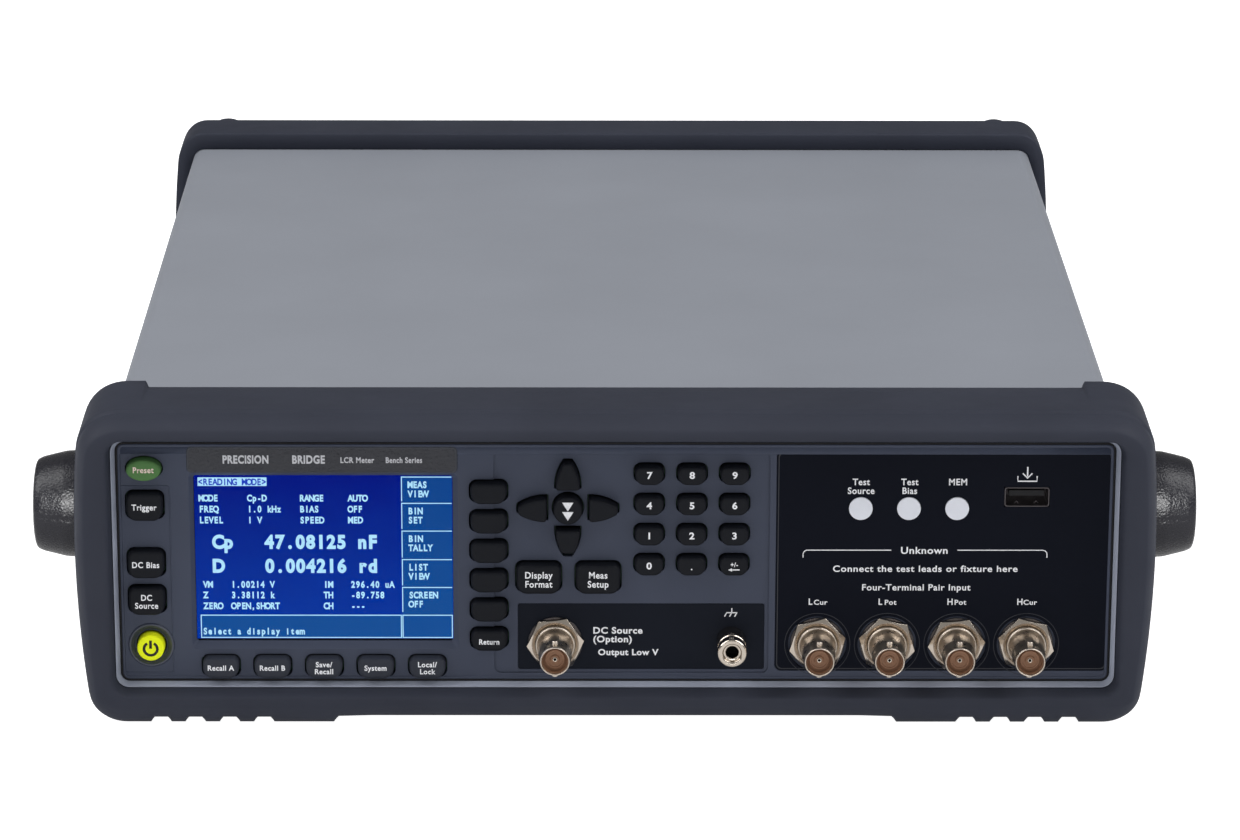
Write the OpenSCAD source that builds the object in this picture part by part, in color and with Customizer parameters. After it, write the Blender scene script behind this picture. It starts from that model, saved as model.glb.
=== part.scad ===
// Bench LCR meter: a sleeve case between two rubber bumpers, with a bail handle,
// a keyed front panel and a row of coaxial test terminals.
// Frame: +X to the operator's right, +Y to the back, +Z up. The origin is on the
// table under the centre of the instrument's bounding box.

/* [Case] */
// Width of the sheet-metal cover
case_w = 317.4; // [314:0.2:318]
// Height of the sheet-metal cover
case_h = 88; // [87:0.5:89]
// Height of the cover's underside above the table
case_z = 10.5; // [10.4:0.1:11]
// Outer corner radius of the cover
case_r = 4.5; // [3:0.5:5]
// Thickness of the cover's sheet
cover_wall = 1.5; // [1:0.1:1.5]
// Front end of the cover
cover_front_y = -178.4; // [-178.5:0.1:-170]
// Rear end of the cover
cover_back_y = 180; // [179:0.5:180.4]

/* [Front panel] */
// Front face of the panel
panel_y = -182.5; // [-183:0.5:-182]
// Thickness of the panel
panel_t = 3; // [2.9:0.1:3]
// Width of the panel
panel_w = 316.2; // [315:0.1:316.4]
// Height of the panel
panel_h = 80; // [79:0.1:80.2]
// Height of the panel's centre
panel_z = 54; // [53.8:0.1:54.2]
// Width of the raised border round the panel
rim_w = 1.7; // [1:0.1:2]
// Depth of the shallow pocket round the cursor, entry and soft keys
field_depth = 0.6; // [0.3:0.1:0.8]

/* [Keys] */
// How far a key cap stands in front of the panel
key_proud = 3.3; // [2:0.1:4]
// How far a key can be pressed
key_travel = 1; // [0.5:0.1:1.2]
// Gap between a cap and the edge of its opening
key_gap = 0.55; // [0.4:0.05:0.7]
// Distance between columns of the number pad
pad_dx = 13.35; // [13:0.05:13.5]
// Distance between rows of the number pad
pad_dz = 9.95; // [9.9:0.05:10.2]
// Distance between keys in the row under the display
row_dx = 16.3; // [16:0.1:16.6]
// Distance between the soft keys beside the display
soft_dz = 9.75; // [9.7:0.05:9.8]

/* [Terminals] */
// Distance between neighbouring coaxial terminals
bnc_pitch = 22; // [21.8:0.1:22.2]
// Radius of a coaxial terminal's bayonet sleeve
bnc_r = 4.8; // [4.7:0.05:4.85]
// How far a coaxial terminal stands in front of the panel
bnc_reach = 17; // [15:0.5:17]
// Radius of the ground post
post_r = 4.65; // [4.4:0.05:5]

/* [Bumpers] */
// Front-most face of the front bumper
bumper_front_y = -189.5; // [-191:0.5:-189]
// Rear edge of the front bumper
bumper_back_y = -150; // [-156:0.5:-150]
// Half width of the front bumper at its widest height
bumper_half_w = 170.5; // [170:0.1:172]
// Front edge of the rear bumper
rear_bumper_y = 173; // [168:0.5:174]
// Half width of the rear bumper at its widest height
rear_half_w = 166.6; // [166:0.1:168]

/* [Handle] */
// Handle pivot, distance behind the front panel
pivot_back = 50; // [50:1:60]
// Height of the handle pivot
pivot_z = 58; // [57.5:0.5:59]
// Distance from the pivot to the middle of the grip bar
arm_len = 150; // [146:1:152]
// Half width over the handle's hubs
hub_half_w = 187.5; // [186:0.5:190]
// Radius of the pivot spindle
spindle_r = 6; // [5:0.5:7]
// Radial running clearance of the hub on its spindle
spindle_clear = 0.05; // [0.02:0.01:0.1]

/* [Hidden] */
$fn = 48;
eps = 0.01;
panel_back = panel_y + panel_t;
case_mid_z = case_z + case_h / 2;
inlay_depth = field_depth + 0.3;
inlay_c = [8.1, 30.1];
inlay_size = [77.9, 22.1];
pivot_y = panel_y + pivot_back;
in_w = case_w - 2 * cover_wall;
in_h = case_h - 2 * cover_wall;

// Opening sizes [width, height] of the key families
left_size = [12.4, 9.8];
key_corner_r = 2.5;
preset_size = [11.9, 8];
row_size = [12.4, 7.6];
soft_size = [12.4, 7.6];
wide_size = [14.9, 10.5];
pad_size = [10.0, 6.7];
power_size = [9.6, 9.6];

// Key centres [x, z]
left_x = -147.4;
row_x = -124.6;
row_z = 20.6;
soft_x = -39.8;
soft_z = 78.6;
pad_x = 10.5;
pad_z = 84.5;
cursor = [-15, 72.9];
power_c = [-146.5, 27.4];
wide_z = 50.3;

// Cursor keys: inner and outer reach from the middle, and half width
arrow_in = 6.1;
arrow_out = 16.2;
arrow_half = 4.3;
arch_r = 15.6;
enter_size = [10.2, 10.2];

// Display: glass size, centre and the bevelled opening in front of it
glass = [81.2, 54.9];
glass_c = [-91.7, 55.8];
bezel = [84.2, 58.3];
bezel_c = [-91.5, 55.3];

// Dark terminal plate
plate_size = [105.2, 73.0];
plate_c = [103.0, 55.4];
plate_t = 1;
plate_y = panel_y + 0.05;

// Terminals and lamps
bnc_z = 27.7;
bnc_lip = 2.6;
bnc_x0 = 63.8;
source_bnc = [-19, 27.95];
post_c = [36.6, 28.8];
nut_flats = 15.9;
nut_h = 2.2;
nut_seat_r = 9.3;
lamp_x0 = 76.8;
lamp_dx = 15.1;
lamp_z = 72.9;
lamp_r = 3.7;
usb_c = [128.8, 76.7];
usb_size = [14.1, 6.4];

// Rear panel items
rear_y = 175.5;
rear_foot_y = 199.5;
foot_seat_y = rear_foot_y - 6.5;
rear_t = 2;
fan_c = [104, 54];
fan_size = 60;
fan_front_y = 153;
fan_depth = 20;
fan_bore = 28.6;
inlet_c = [-112, 38];
inlet_size = [47, 24];

LEFT = ["key_preset", "key_trigger", "key_dc_bias", "key_dc_source"];
LEFT_Z = [86.1, 74.1, 55.1, 42.9];
ROW = ["key_recall_a", "key_recall_b", "key_save_recall", "key_system", "key_local"];
SOFT = ["softkey_1", "softkey_2", "softkey_3", "softkey_4", "softkey_5", "key_return"];
PAD = ["key_7", "key_8", "key_9", "key_4", "key_5", "key_6",
       "key_1", "key_2", "key_3", "key_0", "key_point", "key_sign"];
ARROWS = ["key_right", "key_up", "key_left", "key_down"];

// Every rectangular or oval key: [name, [x, z], [opening w, h], shape]
KEYS = concat(
    [for (i = [0:3])
        [LEFT[i], [left_x, LEFT_Z[i]], i == 0 ? preset_size : left_size, i == 0 ? "oval" : "box"]],
    [for (i = [0:4]) [ROW[i], [row_x + i * row_dx, row_z], row_size, "box"]],
    [for (i = [0:5]) [SOFT[i], [soft_x, soft_z - i * soft_dz], soft_size, "box"]],
    [for (i = [0:11])
        [PAD[i], [pad_x + (i % 3) * pad_dx, pad_z - floor(i / 3) * pad_dz], pad_size, "box"]],
    [["key_display_format", [-24.2, wide_z], wide_size, "box"],
     ["key_meas_setup", [-5.5, wide_z], wide_size, "box"],
     ["key_power", power_c, power_size, "oval"],
     ["key_enter", cursor, enter_size, "enter"]]
);

// Every coaxial terminal: [x, z, turn of its nut]
BNCS = concat(
    [for (i = [0:3]) [bnc_x0 + i * bnc_pitch, bnc_z, [14, 46, 5, 46][i]]],
    [[source_bnc[0], source_bnc[1], 6]]
);

// ---------- Building blocks ----------

// A 2D outline drawn in x and z, filled from y0 to y1
module slab(y0, y1) {
    translate([0, y1, 0]) rotate([90, 0, 0]) linear_extrude(height = y1 - y0) children();
}

// A round bar along y
module bar_y(r, y0, y1, x = 0, z = 0) {
    translate([x, y1, z]) rotate([90, 0, 0]) cylinder(r = r, h = y1 - y0);
}

// A round bar along x, with its own end radii
module bar_x(r0, r1, x0, x1) {
    translate([x0, pivot_y, pivot_z]) rotate([0, 90, 0]) cylinder(r1 = r0, r2 = r1, h = x1 - x0);
}

module rounded(size, r) {
    square([size[0] - 2 * r, size[1]], center = true);
    square([size[0], size[1] - 2 * r], center = true);
    for (sx = [-1, 1], sz = [-1, 1])
        translate([sx * (size[0] / 2 - r), sz * (size[1] / 2 - r)]) circle(r);
}

module block(x0, x1, y0, y1, z0, z1) {
    translate([x0, y0, z0]) cube([x1 - x0, y1 - y0, z1 - z0]);
}

module both_sides() {
    children();
    mirror([1, 0, 0]) children();
}

// ---------- Bumpers ----------

// A bumper's outline: bowed sides and large corners, drawn in by inset
module bumper_outline(half_w, bow_z, bottom, top, r_top, r_low, inset) {
    bow = 225;
    hull() {
        for (s = [-1, 1]) {
            translate([s * (half_w - 3 - r_top), top - r_top]) circle(r_top - inset);
            translate([s * (half_w - 5.5 - r_low), bottom + r_low]) circle(r_low - inset);
        }
        intersection() {
            intersection_for (s = [-1, 1])
                translate([s * (bow - half_w), bow_z]) circle(bow - inset, $fn = 360);
            translate([0, bow_z]) square([2 * half_w, 56], center = true);
        }
    }
}

module front_outline(inset) {
    bumper_outline(bumper_half_w, 60, 1.3, 104, 13, 10, inset);
}

module rear_outline(inset) {
    bumper_outline(rear_half_w, 56, 1.3, 105, 10, 10, inset);
}

// Ribbed foot under the front bumper
module front_foot() {
    difference() {
        block(88.7, 157, panel_y + 5, bumper_back_y, 0, 6);
        for (i = [0:3]) block(108.9 + i * 10.9, 114.4 + i * 10.9, panel_y, -150, -1, 1.4);
    }
}

module front_bumper() {
    pad_x0 = 148.6;
    color("#3a3b3f") difference() {
        union() {
            hull() {
                slab(panel_y, bumper_back_y) front_outline(0);
                slab(bumper_front_y + 2, panel_y) front_outline(2.2);
                slab(bumper_front_y, bumper_front_y + 1) front_outline(6);
            }
            both_sides() {
                front_foot();
                slab(panel_y, bumper_back_y) {
                    translate([pad_x0 + 6.5, 92]) circle(13);
                    translate([pad_x0, 92]) square([6.5, 13]);
                }
            }
        }
        slab(panel_y - 1, cover_front_y)
            translate([0, panel_z]) rounded([panel_w + 0.4, panel_h + 0.4], 4.2);
        slab(cover_front_y - 0.1, bumper_back_y + 1)
            translate([0, case_mid_z]) rounded([case_w + 0.4, case_h + 0.4], case_r);
        hull() {
            slab(panel_y, panel_y + eps)
                translate([0, panel_z]) rounded([panel_w + 0.4, panel_h + 0.4], 4.2);
            slab(bumper_front_y - 1, bumper_front_y - 0.9)
                translate([0, 54.6]) rounded([panel_w + 6.4, panel_h + 2.8], 6);
        }
    }
}

module rear_bumper() {
    foot_z = [13.5, 95.5];
    color("#3a3b3f") difference() {
        union() {
            difference() {
                union() {
                    hull() {
                        slab(rear_bumper_y, 189) rear_outline(0);
                        slab(194, 195) rear_outline(4);
                    }
                    both_sides() block(104, 157, rear_bumper_y + 3, 190, 0, 6);
                }
                slab(rear_bumper_y - 1, cover_back_y + 0.5)
                    translate([0, case_mid_z]) rounded([case_w + 0.4, case_h + 0.4], case_r);
                slab(cover_back_y, 203) translate([0, case_mid_z]) rounded([300, 76], 8);
            }
            both_sides() for (z = foot_z) bar_y(9, 190, rear_foot_y, 147, z);
        }
        both_sides() for (z = foot_z) {
            bar_y(1.6, 170, 203, 147, z);
            bar_y(3.5, foot_seat_y, rear_foot_y + 1, 147, z);
        }
    }
}

// ---------- Case ----------

module cover() {
    color("#7f858f") difference() {
        slab(cover_front_y, cover_back_y)
            translate([0, case_mid_z]) rounded([case_w, case_h], case_r);
        slab(cover_front_y - 1, cover_back_y + 1)
            translate([0, case_mid_z]) rounded([in_w, in_h], case_r - cover_wall);
        for (s = [-1, 1]) {
            translate([s * case_w / 2, pivot_y, pivot_z]) rotate([0, 90, 0])
                cylinder(r = 4.3, h = 8, center = true);
            for (i = [0:11]) translate([s * case_w / 2, -40 + i * 9, case_mid_z])
                cube([8, 3.2, 34], center = true);
        }
    }
}

// Tray with two side walls and the posts that carry the main board
module chassis() {
    wall_x = in_w / 2 - 0.1;
    floor_z = case_z + cover_wall + 0.1;
    color("#c4c6c8") difference() {
        union() {
            slab(-168, 172) difference() {
                translate([0, case_mid_z]) rounded([2 * wall_x, in_h - 0.2], 2.9);
                translate([0, case_mid_z]) rounded([2 * wall_x - 2.4, in_h - 2.6], 1.7);
                translate([-case_w / 2, 88]) square([case_w, 20]);
            }
            for (x = [-130, 0, 130], y = [-140, -20, 52])
                translate([x, y, floor_z]) cylinder(r = 3, h = 7);
        }
        for (s = [-1, 1]) translate([s * wall_x, pivot_y, pivot_z]) rotate([0, 90, 0])
            cylinder(r = 4.1, h = 8, center = true);
    }
}

module rear_panel() {
    color("#8a8f97") difference() {
        slab(rear_y, rear_y + rear_t)
            translate([0, case_mid_z]) rounded([in_w - 0.4, in_h - 0.4], 2.5);
        // Finger guard: ring slots in front of the fan, left whole along two spokes
        slab(rear_y - 1, rear_y + rear_t + 1) translate(fan_c) difference() {
            for (r = [7, 13, 19, 25]) difference() {
                circle(r + 1.9);
                circle(r - 1.9);
            }
            for (a = [45, 135]) rotate(a) square([60, 3], center = true);
        }
        slab(rear_y - 1, rear_y + rear_t + 1) {
            translate(inlet_c) square(inlet_size + [0.6, 0.6], center = true);
            for (p = IO) translate(p[0]) square(p[1] + [0.6, 0.6], center = true);
        }
        bar_y(5.0, rear_y - 1, rear_y + 3, IO_BNC[0], IO_BNC[1]);
        for (p = rear_screws()) bar_y(1.6, rear_y - 1, rear_y + 3, p[0], p[1]);
    }
}

// ---------- Front panel ----------

// A key's outline, grown by g on every side
module key_outline(k, g) {
    translate(k[1]) {
        if (k[3] == "box") rounded(k[2] + [2 * g, 2 * g], key_corner_r + g);
        else if (k[3] == "enter") circle(k[2][0] / 2 + g);
        else scale([k[2][0] / k[2][1], 1]) circle(k[2][1] / 2 + g);
    }
}

// A cursor key's pointed-arch outline along angle a, grown by g
module arrow_outline(a, g) {
    translate(cursor) rotate(a) intersection() {
        intersection_for (s = [-1, 1])
            translate([arrow_in + 1, s * (arrow_half - arch_r)]) circle(arch_r + g, $fn = 180);
        circle(arrow_out + g);
        translate([arrow_in - g, -arrow_out]) square(2 * arrow_out);
    }
}

// The display's opening, bevelled from the bezel down to the glass
module display_opening() {
    hull() {
        slab(panel_y - 0.1, panel_y) translate(bezel_c) rounded(bezel, 1.5);
        slab(panel_y + 1.5, panel_y + 1.6) translate(glass_c) rounded(glass, 1);
    }
    slab(panel_y + 1, panel_back + 1) translate(glass_c) rounded(glass, 1);
    slab(panel_back - 1.3, panel_back + 1) translate(glass_c) square([84.8, 58.8], center = true);
}

module field_outline() {
    translate([5.05, 54.65]) rounded([86.5, 73.1], 2);
}

module front_panel() {
    dish_r = 183;
    color("#3f4450") difference() {
        slab(panel_y, panel_back) translate([0, panel_z]) rounded([panel_w, panel_h], 4);
        // Groove inside the raised border
        slab(panel_y - 1, panel_y + 0.7) translate([0, panel_z]) difference() {
            rounded([panel_w - 2 * rim_w, panel_h - 2 * rim_w], 3);
            rounded([panel_w - 2 * rim_w - 1.4, panel_h - 2 * rim_w - 1.4], 2.3);
        }
        slab(panel_y - 1, panel_y + field_depth) field_outline();
        slab(panel_y - 1, panel_y + inlay_depth)
            translate(inlay_c) rounded(inlay_size, 0.8);
        // Shallow dishes round the cursor keys and the power key
        intersection() {
            translate([cursor[0], panel_y + 1.3 - dish_r, cursor[1]]) sphere(dish_r, $fn = 96);
            slab(panel_y, panel_back) field_outline();
        }
        translate([power_c[0], panel_y + 1.2 - 24, power_c[1]]) sphere(24);
        display_opening();
        slab(panel_y - 1, panel_y + plate_t + 0.1) {
            translate(plate_c) rounded(plate_size + [0.2, 0.2], 2.1);
            for (i = [0:3]) translate([bnc_x0 + i * bnc_pitch, bnc_z]) circle(nut_seat_r);
        }
        slab(panel_y - 1, panel_back + 1) {
            for (k = KEYS) key_outline(k, 0);
            for (i = [0:3]) arrow_outline(i * 90, 0);
            for (b = BNCS) translate([b[0], b[1]]) circle(5.5);
            translate(post_c) circle(3.1);
            for (i = [0:2]) translate([lamp_x0 + i * lamp_dx, lamp_z]) circle(lamp_r + 0.1);
            translate(usb_c) square(usb_size + [0.2, 0.2], center = true);
        }
    }
}

module display_window() {
    color("#20263a", 0.5) slab(panel_back - 1.2, panel_back - 0.15)
        translate(glass_c) square([84.4, 58.4], center = true);
}

module display_module() {
    color("#1c2f8f") {
        slab(panel_back + 0.05, panel_back + 5) translate(glass_c) square([89, 57.6], center = true);
        slab(panel_back + 5, panel_back + 6.6) translate(glass_c) square([87, 56], center = true);
    }
}

module terminal_plate() {
    color("#161a24") slab(plate_y, plate_y + plate_t) difference() {
        translate(plate_c) rounded(plate_size, 2);
        for (i = [0:3]) translate([bnc_x0 + i * bnc_pitch, bnc_z]) circle(nut_seat_r);
        for (i = [0:2]) translate([lamp_x0 + i * lamp_dx, lamp_z]) circle(lamp_r + 0.1);
        translate(usb_c) square(usb_size + [0.2, 0.2], center = true);
    }
}

// ---------- Keys ----------

cap_y = panel_y - key_proud;
flange_y = panel_back + 0.1;

// A cap that passes through the panel, with a flange behind it that stops it falling out
module key(k) {
    w = k[2] + [1.1, 1.1];
    color(k[0] == "key_power" ? "#d8f020" : k[0] == "key_preset" ? "#6b9a60" : "#24262c") {
        slab(cap_y, flange_y + 0.5) key_outline(k, -key_gap);
        slab(flange_y, flange_y + 0.9) translate(k[1])
            square(k[3] == "enter" ? [9.2, 9.2] : w, center = true);
    }
}

module arrow_key(i) {
    color("#24262c") {
        slab(cap_y, flange_y + 0.5) arrow_outline(i * 90, -key_gap);
        slab(flange_y, flange_y + 0.9) translate(cursor) rotate(i * 90)
            translate([9.4, -5.1]) square([7.1, 10.2]);
    }
}

module keypad_board() {
    board_y = panel_back + 2.6;
    color("#2d5a3c") slab(board_y, board_y + 1.6) difference() {
        translate([-52.5, 54.5]) square([203, 77], center = true);
        translate(glass_c) square([92, 60.5], center = true);
        translate(source_bnc) circle(9);
        translate(post_c) circle(7);
        translate([-90, 88.5]) square([100, 10], center = true);
    }
}

// ---------- Terminals ----------

// Bayonet sleeve, threaded barrel and rear shoulder of one coaxial terminal
module bnc_body(x, z) {
    tip = panel_y - bnc_reach;
    lug_y = tip + 4.6;
    difference() {
        union() {
            bar_y(bnc_r, tip, tip + bnc_lip, x, z);
            bar_y(bnc_r - 0.2, tip, panel_y - 3, x, z);
            bar_y(5.35, panel_y - 3.4, panel_back + 8, x, z);
            bar_y(8, panel_back + 0.1, panel_back + 2.2, x, z);
            bar_y(4, panel_back + 8, panel_back + 12, x, z);
            for (s = [-1, 1]) translate([x, lug_y, z + s * 5]) cylinder(r = 1, h = 2, center = true);
        }
        bar_y(4.05, tip - 1, panel_y - 5, x, z);
        bar_y(2.6, panel_y - 6, panel_back + 13, x, z);
    }
}

module bnc_bodies() {
    color("#b5ada0") for (b = BNCS) bnc_body(b[0], b[1]);
}

// Hexagon nut with a raised round face
module bnc_nuts() {
    color("#a8a196") for (b = BNCS) {
        seat = b[1] == bnc_z ? panel_y + plate_t + 0.05 : panel_y + inlay_depth - 0.05;
        difference() {
            union() {
                translate([b[0], seat, b[1]]) rotate([90, -b[2], 0])
                    cylinder(r = nut_flats / sqrt(3), h = nut_h, $fn = 6);
                bar_y(6.7, seat - nut_h - 0.4, seat - 1, b[0], b[1]);
            }
            bar_y(5.4, seat - 5, seat + 1, b[0], b[1]);
        }
    }
}

// Insulator with its centre socket
module bnc_cores() {
    tip = panel_y - bnc_reach;
    color("#8a6a48") for (b = BNCS) difference() {
        union() {
            bar_y(2.55, tip + 5.2, panel_back + 11, b[0], b[1]);
            bar_y(3.3, tip + 2, panel_y - 6, b[0], b[1]);
            bar_y(1.2, tip + 1.2, tip + 6, b[0], b[1]);
            bar_y(0.7, panel_back + 10, panel_back + 14, b[0], b[1]);
        }
        bar_y(0.7, tip, tip + 10, b[0], b[1]);
    }
}

// Ground post with a socket for a 4 mm plug
module ground_terminal() {
    front = panel_y - 12;
    seat = panel_y + inlay_depth - 0.05;
    x = post_c[0];
    z = post_c[1];
    color("#b5ada0") {
        difference() {
            union() {
                bar_y(post_r, front, seat, x, z);
                bar_y(3, seat - 1, panel_back + 8, x, z);
            }
            bar_y(2.05, front - 1, seat - 1, x, z);
            bar_y(2.9, front - 1, front + 0.6, x, z);
        }
        difference() {
            bar_y(5.5, panel_back + 0.1, panel_back + 2.5, x, z);
            bar_y(3.05, panel_back, panel_back + 3, x, z);
        }
    }
}

module usb_port() {
    color("#b8bcc2") difference() {
        slab(plate_y - 0.1, panel_y + 14) translate(usb_c) square(usb_size, center = true);
        slab(panel_y - 1, panel_y + 12) translate(usb_c) difference() {
            square(usb_size - [1, 1], center = true);
            translate([0, 1.1]) square([11, 1.9], center = true);
        }
        slab(panel_y - 1, panel_y + 0.9) translate(usb_c) square(usb_size - [1, 1], center = true);
    }
}

module indicator_lamps() {
    color("#a9aeb6") for (i = [0:2]) {
        x = lamp_x0 + i * lamp_dx;
        bar_y(lamp_r, panel_y - 0.3, panel_back + 1, x, lamp_z);
        bar_y(lamp_r + 0.8, panel_back + 0.1, panel_back + 1.4, x, lamp_z);
    }
}

// ---------- Inside ----------

module main_board() {
    board_z = case_z + cover_wall + 7.2;
    color("#2d5a3c") {
        block(-148, 148, -155, 60, board_z, board_z + 1.6);
        for (i = [0:3]) block(-6 + i * 34, 22 + i * 34, -120, -80, board_z + 1.6, board_z + 14);
        block(-120, -60, -110, -50, board_z + 1.6, board_z + 10);
        block(-40, 20, -30, 30, board_z + 1.6, board_z + 6);
        block(60, 120, -40, 20, board_z + 1.6, board_z + 16);
    }
}

// Covered supply behind the mains inlet
module power_supply() {
    color("#b9bcbf") difference() {
        block(-152, -70, 66, 146, 14, 74);
        block(-150.8, -71.2, 64, 144.8, 15.2, 72.8);
        for (i = [0:7]) block(-142 + i * 9, -138 + i * 9, 84, 130, 70, 80);
    }
}

module fan_frame() {
    back = fan_front_y + fan_depth;
    x = fan_c[0];
    z = fan_c[1];
    color("#2a2a2c") difference() {
        union() {
            difference() {
                slab(fan_front_y, back) translate(fan_c) rounded([fan_size, fan_size], 3);
                bar_y(fan_bore, fan_front_y - 1, back + 1, x, z);
            }
            bar_y(12.5, back - 3, back, x, z);
            bar_y(4, back - 9, back, x, z);
            for (a = [30, 150, 270]) slab(back - 3, back) translate(fan_c) rotate(a)
                translate([20.5, 0]) square([18, 3], center = true);
        }
        bar_y(2.05, back - 10, back - 1, x, z);
        for (sx = [-1, 1], sz = [-1, 1])
            bar_y(1.8, fan_front_y - 1, back + 1, x + sx * 25, z + sz * 25);
    }
}

module fan_rotor() {
    front = fan_front_y + 1;
    x = fan_c[0];
    z = fan_c[1];
    color("#1e1e20") {
        difference() {
            bar_y(12, front, front + 14, x, z);
            bar_y(10.8, front + 1.5, front + 15, x, z);
        }
        bar_y(2, front, fan_front_y + fan_depth - 1.5, x, z);
        for (i = [0:6]) translate([x, front + 7, z]) rotate([0, i * 360 / 7, 0])
            translate([19.4, 0, 0]) rotate([38, 0, 0]) cube([15.6, 1.4, 13], center = true);
    }
}

// Rear sockets: [centre [x, z], shell size [w, h], depth behind the panel]
IO = [
    [[-20, 74], [62, 14], 4],
    [[-20, 50], [62, 14], 4],
    [[36, 26], [16, 13.5], 1],
    [[10, 26], [12, 11], 1],
    [[-20, 26], [34, 12.5], 3],
    [[56, 26], [13.2, 5.7], 1]
];
IO_BNC = [56, 46];

// Socket shells with a contact tongue, one block of contacts behind each
module io_connectors() {
    out = rear_y + rear_t;
    color("#9b9fa6") {
        for (p = IO) difference() {
            slab(rear_y - 16, out + p[2]) translate(p[0]) square(p[1], center = true);
            slab(rear_y - 4, out + p[2] + 1) translate(p[0]) difference() {
                square(p[1] - [2.4, 2.4], center = true);
                square([p[1][0] * 0.72, p[1][1] * 0.25], center = true);
            }
        }
        difference() {
            union() {
                bar_y(4.8, rear_y - 10, out + 13, IO_BNC[0], IO_BNC[1]);
                bar_y(7, out + 0.1, out + 2.6, IO_BNC[0], IO_BNC[1]);
            }
            bar_y(4, out + 4, out + 14, IO_BNC[0], IO_BNC[1]);
        }
    }
}

// Mains inlet with three blades and a fuse drawer beside it
module power_inlet() {
    out = rear_y + rear_t;
    blades = [[-6, 39.5], [8, 39.5], [1, 35]];
    color("#1b1c1e") translate([inlet_c[0], 0, 0]) {
        difference() {
            union() {
                slab(rear_y - 22, out) translate([0, inlet_c[1]]) square(inlet_size, center = true);
                slab(out + 0.05, out + 2) translate([0, inlet_c[1]])
                    rounded(inlet_size + [4, 4], 2);
                slab(out - 1, out + 0.5) translate([0, inlet_c[1]]) square(inlet_size, center = true);
            }
            slab(rear_y - 16, out + 3) translate([1, inlet_c[1]]) square([24.6, 17], center = true);
            slab(out + 1, out + 3) translate([-17.5, inlet_c[1]]) square([9, 18], center = true);
        }
        for (b = blades) slab(rear_y - 17, out - 2) translate(b) square([2, 4.4], center = true);
    }
}

// ---------- Handle ----------

// One hub: a tapered drum with a rounded outer edge, blind-bored for the spindle
module hub() {
    x0 = bumper_half_w + 1.6;
    difference() {
        union() {
            bar_x(17.5, 17.5, x0, x0 + 4);
            bar_x(17.5, 15.7, x0 + 4, hub_half_w - 1.5);
            bar_x(15.7, 14.4, hub_half_w - 1.5, hub_half_w);
        }
        bar_x(spindle_r + spindle_clear, spindle_r + spindle_clear, x0 - 1, hub_half_w - 2.2);
    }
}

// The grip bar's section, level while the handle is folded under the case
bar_size = [25, 8.4];
arm_drop = asin((pivot_z - 5.5) / arm_len);

module arm_profile() {
    rotate(-arm_drop) translate([arm_len, 0]) rotate(arm_drop) rounded(bar_size, 3.5);
}

module handle() {
    x0 = bumper_half_w + 3.5;
    x1 = hub_half_w - 1.5;
    color("#17171a") {
        both_sides() {
            hub();
            difference() {
                translate([x0, pivot_y, pivot_z]) rotate([90, 0, 90]) linear_extrude(height = x1 - x0)
                    hull() {
                        circle(14);
                        arm_profile();
                    }
                bar_x(15, 15, x0 - 1, x1 + 1);
            }
        }
        translate([-x1, pivot_y, pivot_z]) rotate([90, 0, 90])
            linear_extrude(height = 2 * x1) arm_profile();
    }
}

// Boss on the case side, spindle for the hub, and threaded end inside
module handle_pivots() {
    x0 = bumper_half_w + 1.4;
    color("#8e9197") both_sides() {
        bar_x(13, 13, case_w / 2 + 0.1, x0);
        bar_x(spindle_r, spindle_r, x0 - 1, hub_half_w - 2.4);
        bar_x(4, 4, case_w / 2 - 8, case_w / 2 + 1);
    }
}

// ---------- Fasteners ----------

// Rear panel screws, on a rectangle and beside the fan [x, z]
function rear_screws() = concat(
    [for (s = [-1, 1], z = [24, 85]) [s * 142, z]],
    [for (sx = [-1, 1], sz = [-1, 1]) [fan_c[0] + sx * 25, fan_c[1] + sz * 25]],
    [[-75, 85], [40, 85]]
);

module screw(x, y, z) {
    bar_y(2.8, y, y + 1.8, x, z);
    bar_y(1.5, y - 9, y + 1, x, z);
}

module screws() {
    color("#9a9da3") {
        for (p = rear_screws()) screw(p[0], rear_y + rear_t + 0.05, p[1]);
        for (s = [-1, 1], z = [13.5, 95.5]) screw(s * 147, foot_seat_y + 0.05, z);
    }
}

front_bumper();
rear_bumper();
cover();
chassis();
front_panel();
display_window();
display_module();
terminal_plate();
bnc_bodies();
bnc_nuts();
bnc_cores();
ground_terminal();
usb_port();
indicator_lamps();
keypad_board();
main_board();
io_connectors();
power_supply();
fan_frame();
fan_rotor();
rear_panel();
power_inlet();
handle();
handle_pivots();
screws();
for (i = [0:3]) arrow_key(i);
for (k = KEYS) key(k);
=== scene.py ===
import math

import bmesh
import bpy
from mathutils import Matrix, Vector


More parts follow.
